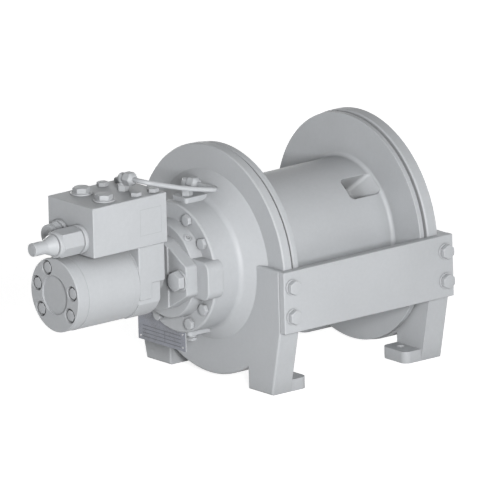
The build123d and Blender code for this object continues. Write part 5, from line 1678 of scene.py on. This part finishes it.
@dataclass
class ValveBlock(SubAssembly):
    """Brake valve block with its cartridges, plugs and bolts."""

    top: float = 110.2
    bolt_x: tuple[float, float] = (-259.7, -232.8)
    bolt_y: float = 31.7
    bolt_turns: tuple[float, ...] = (4.0, 12.0, 9.0, 25.0)
    plug_turn: float = 21.0
    plug_x: float = -300.0
    plug_y: float = 21.7
    cartridge_x: float = -334.2
    cartridge_z: float = 68.4
    cartridge_y: float = -17.2
    cartridge_turn: float = 20.0
    second_y: float = 20.5
    bore_radius: float = 12.8
    shank_point: float = 1.0
    collar_foot: float = 0.4
    collar_edge: float = 0.7
    long_collar: Station = (5.4, 17.8)
    long_neck: Station = (6.0, 14.0)
    short_collar: Station = (4.6, 16.5)
    short_neck: Station = (5.2, 12.4)
    port_collar: tuple[Station, ...] = (
        (-12.0, 0.0), (-12.0, 7.4), (-11.0, 8.4), (0.0, 8.4), (0.0, 13.2), (0.5, 13.8), (1.5, 13.8),
        (2.2, 13.1), (2.2, 11.9), (1.8, 11.6), (1.8, 10.8), (2.3, 10.4), (2.9, 10.4), (2.9, 0.0),
    )
    long_nose: tuple[Station, ...] = (
        (36.0, 0.0), (36.0, 14.8), (36.6, 16.1), *arc((40.2, 14.3), 1.8, 90.0, 0.0),
        (42.0, 12.2), (41.2, 12.0), (41.2, 0.0),
    )
    short_nose: tuple[Station, ...] = (
        (12.0, 0.0), (12.0, 12.6), (13.9, 12.6), (14.6, 13.5), *arc((19.2, 12.1), 1.4, 90.0, 0.0),
        (20.6, 6.0), (19.8, 5.6), (19.8, 0.0),
    )
    cap: tuple[Station, ...] = (
        (41.3, 0.0), (41.3, 11.6), (42.0, 11.8), (42.3, 13.1), *arc((43.2, 12.4), 1.0, 150.0, 62.0),
        (54.6, 8.9), (55.3, 8.3), (73.7, 8.3), *arc((73.9, 7.4), 0.9, 80.0, 0.0),
        (74.8, 6.9), (74.3, 6.6), (74.3, 6.1), (74.8, 5.8), (74.8, 0.0),
    )

    def build(self) -> None:
        """Coat the block and model what is screwed into it."""
        self.coat(Surface.BLOCK, "valve_block")
        depth = self.top - node_limit("valve_block_bolts", 2, False)
        places = [at(x, side, self.top) for x in self.bolt_x for side in (-self.bolt_y, self.bolt_y)]
        places = [place @ turn("Z", angle) for place, angle in zip(places, self.bolt_turns)]
        self.replace(copies(M8.bolt(depth), places, "block_bolts"), Surface.FASTENER, "valve_block_bolts")
        sides = (-self.plug_y, self.plug_y)
        places = [at(self.plug_x, side, self.top) @ turn("Z", self.plug_turn) for side in sides]
        self.replace(copies(self.port_plug(), places, "port_plugs"), Surface.FITTING, "port_plugs")
        place = self.cartridge_place(self.cartridge_y) @ turn("Z", self.cartridge_turn)
        cartridge = settle(self.counterbalance_cartridge(), place)
        self.replace(cartridge, Surface.FITTING, "counterbalance_cartridge")
        cap = settle(self.adjuster_cap(), place)
        self.replace(cap, Surface.FITTING, "cartridge_adjuster_cap")
        second = settle(self.second_cartridge(), self.cartridge_place(self.second_y))
        self.replace(second, Surface.FITTING, "second_cartridge")

    def cartridge_place(self, y: float) -> Matrix:
        """Seat of a cartridge in the block's left end.

        Args:
            y: Distance across, to the rear.

        Returns:
            The place, with its Z pointing out of the block.
        """
        return at(self.cartridge_x, y, self.cartridge_z) @ turn("Y", -90.0)

    def port_plug(self) -> bpy.types.Object:
        """Model one port plug: sealing collar, groove and hexagon."""
        plug = hexagon("port_plug", across_flats=19.0, length=6.2, crowns=(0.0, 0.93), start=2.6)
        return round_edges(boolean(plug, turned("collar", self.port_collar), "UNION"), FINE_ROUNDING)

    def body_profile(self, shank: float, collar: Station, neck: Station) -> list[Station]:
        """Turned profile of a cartridge's shank, collar and neck.

        Args:
            shank: Length of the shank in the block.
            collar: Height and radius of the collar.
            neck: Height and radius of the neck, whose end lies inside the hexagon.

        Returns:
            The stations, from the foot of the shank to the end of the neck.
        """
        bore, point, foot, edge = self.bore_radius, self.shank_point, self.collar_foot, self.collar_edge
        (height, rim), (end, waist) = collar, neck
        stations = [(-shank, 0.0), (-shank, bore - point), (-shank + point, bore), (0.0, bore), (0.0, rim - foot)]
        stations += [(foot, rim), (height - edge, rim), (height, rim - edge)]
        return stations + [(height, waist), (end, waist), (end, 0.0)]

    def counterbalance_cartridge(self) -> bpy.types.Object:
        """Model the counterbalance cartridge's body: shank, collar, long hexagon and rounded nose."""
        shank = node_limit("counterbalance_cartridge", 0, True) - self.cartridge_x
        body = turned("body", self.body_profile(shank, self.long_collar, self.long_neck))
        hexagonal = hexagon("counterbalance", across_flats=30.0, length=31.2, crowns=(0.98, 0.99), start=5.6)
        boolean(hexagonal, body, "UNION")
        boolean(hexagonal, turned("nose", self.long_nose), "UNION")
        return round_edges(hexagonal, FINE_ROUNDING)

    def adjuster_cap(self) -> bpy.types.Object:
        """Model the cap over the setting screw: taper, neck and stem with a ringed end."""
        return turned("cap", self.cap)

    def second_cartridge(self) -> bpy.types.Object:
        """Model the second cartridge: collar, short hexagon and nose with a socket screw."""
        shank = node_limit("second_cartridge", 0, True) - self.cartridge_x
        body = turned("body", self.body_profile(shank, self.short_collar, self.short_neck))
        hexagonal = hexagon("second", across_flats=27.0, length=8.8, crowns=(0.97, 0.97), start=4.8)
        boolean(hexagonal, body, "UNION")
        boolean(hexagonal, turned("nose", self.short_nose), "UNION")
        socket = hexagon("socket", across_flats=5.0, length=3.0, crowns=(0.0, 0.0), start=17.4)
        boolean(hexagonal, socket, "DIFFERENCE")
        return round_edges(hexagonal, FINE_ROUNDING)


@dataclass
class BrakeLine(SubAssembly):
    """Bent pipe between two elbows, from the valve block to the brake's port."""

    block_elbow: tuple[float, float, float] = (-253.7, 110.2, 6.0)
    brake_elbow: tuple[float, float, float] = (-156.6, 85.7, 8.0)
    rise: float = 16.2
    mouth: float = 12.0
    nut_start: float = 6.0
    nut_end: float = 20.0
    nut_across: float = 15.2
    nut_nose: float = 4.2
    nut_cone: tuple[Station, ...] = ((-3.2, 7.4), (-0.6, 5.6), (0.0, 5.0), (0.0, 0.0))
    nut_thread: float = 4.9
    pipe_radius: float = 3.0
    bent_radius: float = 2.5
    thread_radius: float = 5.0
    thread_point: float = 0.8
    stub_root: float = 0.2
    mouth_root: float = 0.6
    elbow_play: float = 0.1
    nut_play: float = 0.15
    corner_play: float = 0.2
    mouth_play: float = 0.3
    collar_across: float = 13.2
    collar_height: float = 7.5
    waist: tuple[Station, ...] = ((7.0, 0.0), (7.0, 5.9), (7.8, 5.6), (9.6, 4.7), (10.8, 5.2), (11.6, 6.1))
    dome: tuple[Station, ...] = ((0.0, 6.1), *arc((0.0, 0.3), 5.8, 90.0, 0.0, 8), (5.8, 0.0))
    arm: tuple[Station, ...] = (
        (-2.0, 0.0), (-2.0, 5.2), (1.2, 5.9), (4.6, 5.9), (5.1, 5.4), (5.1, 4.6), (5.8, 4.6), (12.0, 4.6)
    )

    def build(self) -> None:
        """Model the pipe, elbows and nuts."""
        self.replace(self.pipe(), Surface.PIPE, "brake_pipe")
        ends = {"valve_block_elbow": self.block_elbow, "brake_port_elbow": self.brake_elbow}
        for node, (x, seat, angle) in ends.items():
            stub = seat - node_limit(node, 2, False)
            self.replace(settle(self.elbow(stub), self.place(x, seat, angle)), Surface.FITTING, node)
        places = [self.place(*end) for end in ends.values()]
        self.replace(copies(self.nut(), places, "pipe_nuts"), Surface.FITTING, "pipe_nuts")

    def pipe(self) -> bpy.types.Object:
        """Model the pipe on its bent run, grown to the bore of its nuts.

        Returns:
            The pipe, in its place.
        """
        pipe = cad_copy("brake_pipe")
        bpy.ops.object.mode_set(mode="EDIT")
        bpy.ops.mesh.select_all(action="SELECT")
        bpy.ops.transform.shrink_fatten(value=(self.pipe_radius - self.bent_radius) * MM)
        bpy.ops.object.mode_set(mode="OBJECT")
        return pipe

    def place(self, x: float, seat: float, angle: float) -> Matrix:
        """Place of an elbow's bend.

        Args:
            x: Distance along the drum axis.
            seat: Height of its seat.
            angle: Turn about the upright.

        Returns:
            The place, with the mouth towards -Y.
        """
        return at(x, 0.0, seat + self.rise) @ turn("Z", angle)

    def elbow(self, stub: float) -> bpy.types.Object:
        """Model an elbow: threaded stub, hexagonal collar, waisted neck, domed body and mouth.

        Args:
            stub: Length of the stub below the seat.

        Returns:
            The elbow, with its bend at the origin.
        """
        foot, thread, bore = -self.rise, self.thread_radius, self.pipe_radius + self.elbow_play
        end, root, mouth_end = foot - stub, foot + self.stub_root, self.nut_start - self.mouth_root
        upright = [(end, 0.0), (end, thread - self.thread_point), (end + self.thread_point, thread)]
        upright += [(root, thread), (root, 0.0)]
        neck = [*((foot + height, radius) for height, radius in self.waist), *self.dome]
        arm = [*self.arm, (self.mouth, bore), (mouth_end, bore), (mouth_end, 0.0)]
        elbow = hexagon("elbow", self.collar_across, self.collar_height, start=foot)
        boolean(elbow, turned("stub", upright, FASTENER_SIDES), "UNION")
        boolean(elbow, turned("neck", neck, FASTENER_SIDES), "UNION")
        boolean(elbow, settle(turned("arm", arm, FASTENER_SIDES), turn("X", 90.0)), "UNION")
        return round_edges(elbow, FINE_ROUNDING)

    def nut(self) -> bpy.types.Object:
        """Model a union nut on an elbow's mouth, its front end turned to a cone."""
        start, end, reach = self.nut_start, self.nut_end, self.nut_across / math.sqrt(3.0) + self.corner_play
        thread, bore, shoulder = self.nut_thread, self.pipe_radius + self.nut_play, self.mouth + self.mouth_play
        nut = hexagon("nut", self.nut_across, end - start, (0.93, 0.0), start)
        cone = [(start - END_SLACK, 0.0), (start - END_SLACK, reach), (end - self.nut_nose, reach)]
        cone += [(end + height, radius) for height, radius in self.nut_cone]
        boolean(nut, turned("cone", cone, FASTENER_SIDES), "INTERSECT")
        hollow = [(start - END_SLACK, 0.0), (start - END_SLACK, thread), (shoulder, thread), (shoulder, bore)]
        hollow += [(end + END_SLACK, bore), (end + END_SLACK, 0.0)]
        boolean(nut, turned("hollow", hollow, FASTENER_SIDES), "DIFFERENCE")
        return settle(round_edges(nut, SOCKET_ROUNDING), turn("X", 90.0))


@dataclass
class Nameplate(SubAssembly):
    """Blank ruled plate on its bracket behind the brake cover."""

    face: float = -172.0
    rivets: tuple[tuple[float, float], ...] = ((-3.9, -101.1), (77.1, -101.1), (77.1, -62.5), (-3.9, -84.9))
    rivet_radius: float = 1.25
    rivet_height: float = 0.6
    rivet_dome: tuple[Station, ...] = ((0.0, 0.0), (0.0, 1.0), (0.35, 1.0), (0.75, 0.78), (0.95, 0.4), (1.0, 0.0))

    def build(self) -> None:
        """Coat the plate and bracket and model the rivets."""
        self.coat(Surface.MACHINED, "nameplate_bracket")
        self.coat(Surface.FOIL, "nameplate")
        dome = [(height * self.rivet_height, radius * self.rivet_radius) for height, radius in self.rivet_dome]
        places = [at(self.face, y, z) @ turn("Y", -90.0) for y, z in self.rivets]
        self.replace(copies(turned("rivet", dome, SMALL_SIDES), places, "rivets"), Surface.RIVET, "nameplate_rivets")


# Studio


@dataclass(frozen=True)
class Lamp:
    """One soft lamp: the direction from the winch to it, its distance and size in metres, and its power."""

    name: str
    direction: tuple[float, float, float]
    distance: float
    size: float
    watts: float


@dataclass
class Studio:
    """Camera, lamps, floor and background, in metres and as parts of full white."""

    picture_width: float = 0.6
    camera_distance: float = 4.0
    farthest_seen: float = 20.0
    aim: tuple[float, float, float] = (0.0, 0.0, 0.1464)
    right: tuple[float, float, float] = (0.78154, -0.62328, -0.02642)
    up: tuple[float, float, float] = (0.18475, 0.19084, 0.96409)
    back: tuple[float, float, float] = (-0.59586, -0.75835, 0.26430)
    shift_right: float = -0.04876
    shift_up: float = -0.0130
    lamps: tuple[Lamp, ...] = (
        Lamp("key_lamp", direction=(-0.56, -0.90, 0.27), distance=2.6, size=0.5, watts=67.0),
        Lamp("side_lamp", direction=(0.99, 0.02, 0.12), distance=2.6, size=1.0, watts=32.0),
        Lamp("rear_lamp", direction=(0.30, 0.95, 0.05), distance=2.6, size=1.0, watts=40.0),
    )
    walls: float = 0.4
    ceiling: float = 0.0
    floor_size: float = 14.0
    floor_level: float = -0.0006
    floor_colour: Colour = (0.55, 0.55, 0.55)
    floor_roughness: float = 0.9
    floor_glow: float = 0.84
    floor_shade: Colour = (0.5, 0.5, 0.5)

    def build(self) -> None:
        """Make the whole studio."""
        self.make_camera()
        self.make_floor()
        for settings in self.lamps:
            self.make_lamp(settings)
        self.make_surroundings()
        bpy.context.scene.view_settings.view_transform = "Standard"

    def make_camera(self) -> None:
        """Parallel-view camera at the photograph's angle."""
        right, up, back = Vector(self.right), Vector(self.up), Vector(self.back)
        target = Vector(self.aim) + right * self.shift_right + up * self.shift_up
        data = bpy.data.cameras.new("camera")
        data.type = "ORTHO"
        data.ortho_scale = self.picture_width
        data.clip_end = self.farthest_seen
        camera = bpy.data.objects.new("camera", data)
        bpy.context.scene.collection.objects.link(camera)
        facing = Matrix((right.normalized(), up.normalized(), back.normalized())).transposed().to_4x4()
        camera.matrix_world = Matrix.Translation(target + back * self.camera_distance) @ facing
        bpy.context.scene.camera = camera

    def seen_rays(self, wiring: Wiring) -> bpy.types.NodeSocket:
        """Mask of the rays that see the white background.

        Args:
            wiring: The wiring of the floor or the world.

        Returns:
            1 for camera, glossy and transmission rays.
        """
        path = wiring.node("ShaderNodeLightPath").outputs
        seen = wiring.sum("MAXIMUM", path["Is Camera Ray"], path["Is Glossy Ray"])
        return wiring.sum("MAXIMUM", seen, path["Is Transmission Ray"])

    def make_floor(self) -> None:
        """Pale floor under the feet, white to the camera but for the winch's shadow."""
        deselect_all()
        bpy.ops.mesh.primitive_plane_add(size=self.floor_size, location=(0.0, 0.0, self.floor_level))
        floor = bpy.context.object
        floor.name = "floor"
        settle(floor)
        material = bpy.data.materials.new("pale_floor")
        material.use_nodes = True
        wiring = Wiring(material.node_tree)
        lit = material.node_tree.nodes["Principled BSDF"]
        lit.inputs["Base Color"].default_value = (*self.floor_colour, 1.0)
        lit.inputs["Roughness"].default_value = self.floor_roughness
        shaded = wiring.node("ShaderNodeBsdfDiffuse", {"Color": (*self.floor_shade, 1.0)})
        glow = wiring.node("ShaderNodeEmission", {"Strength": self.floor_glow})
        white = wiring.node("ShaderNodeAddShader", {0: shaded.outputs[0], 1: glow.outputs[0]})
        mix = wiring.node("ShaderNodeMixShader", {0: self.seen_rays(wiring), 1: lit.outputs[0], 2: white.outputs[0]})
        material.node_tree.links.new(mix.outputs[0], material.node_tree.nodes["Material Output"].inputs["Surface"])
        floor.data.materials.append(material)

    def make_lamp(self, settings: Lamp) -> None:
        """Soft square lamp that shines on the winch.

        Args:
            settings: Where the lamp stands, its size and its power.
        """
        data = bpy.data.lights.new(settings.name, "AREA")
        data.size = settings.size
        data.energy = settings.watts
        lamp = bpy.data.objects.new(settings.name, data)
        bpy.context.scene.collection.objects.link(lamp)
        away = Vector(settings.direction).normalized()
        lamp.location = Vector(self.aim) + away * settings.distance
        lamp.rotation_mode = "QUATERNION"
        lamp.rotation_quaternion = away.to_track_quat("Z", "Y")

    def make_surroundings(self) -> None:
        """Pale walls and a darker ceiling, white where the camera looks past the winch."""
        world = bpy.data.worlds.new("surroundings")
        bpy.context.scene.world = world
        world.use_nodes = True
        wiring = Wiring(world.node_tree)
        towards = wiring.node("ShaderNodeSeparateXYZ", {0: wiring.node("ShaderNodeTexCoord").outputs["Generated"]})
        level = wiring.stretch(towards.outputs["Z"], (0.0, 1.0), (self.walls, self.ceiling))
        light = world.node_tree.nodes["Background"]
        light.inputs["Color"].default_value = (1.0, 1.0, 1.0, 1.0)
        world.node_tree.links.new(level, light.inputs["Strength"])
        seen = wiring.node("ShaderNodeBackground", {"Color": (1.0, 1.0, 1.0, 1.0), "Strength": 1.0})
        mix = wiring.node("ShaderNodeMixShader", {0: self.seen_rays(wiring), 1: light.outputs[0], 2: seen.outputs[0]})
        world.node_tree.links.new(mix.outputs[0], world.node_tree.nodes["World Output"].inputs["Surface"])


def main() -> None:
    """Build the studio and dress the winch, sub-assembly by sub-assembly."""
    logging.basicConfig(level=logging.INFO)
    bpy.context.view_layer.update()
    Studio().build()
    finishes = make_finishes()
    parts: tuple[type[SubAssembly], ...] = (
        SideFrames, FarTrunnion, RopeDrum, GearTrain, DiscBrake, HydraulicMotor, ValveBlock, BrakeLine, Nameplate
    )
    for part in parts:
        log.info("building %s", part.__name__)
        part(finishes).build()


if __name__ == "__main__":
    main()
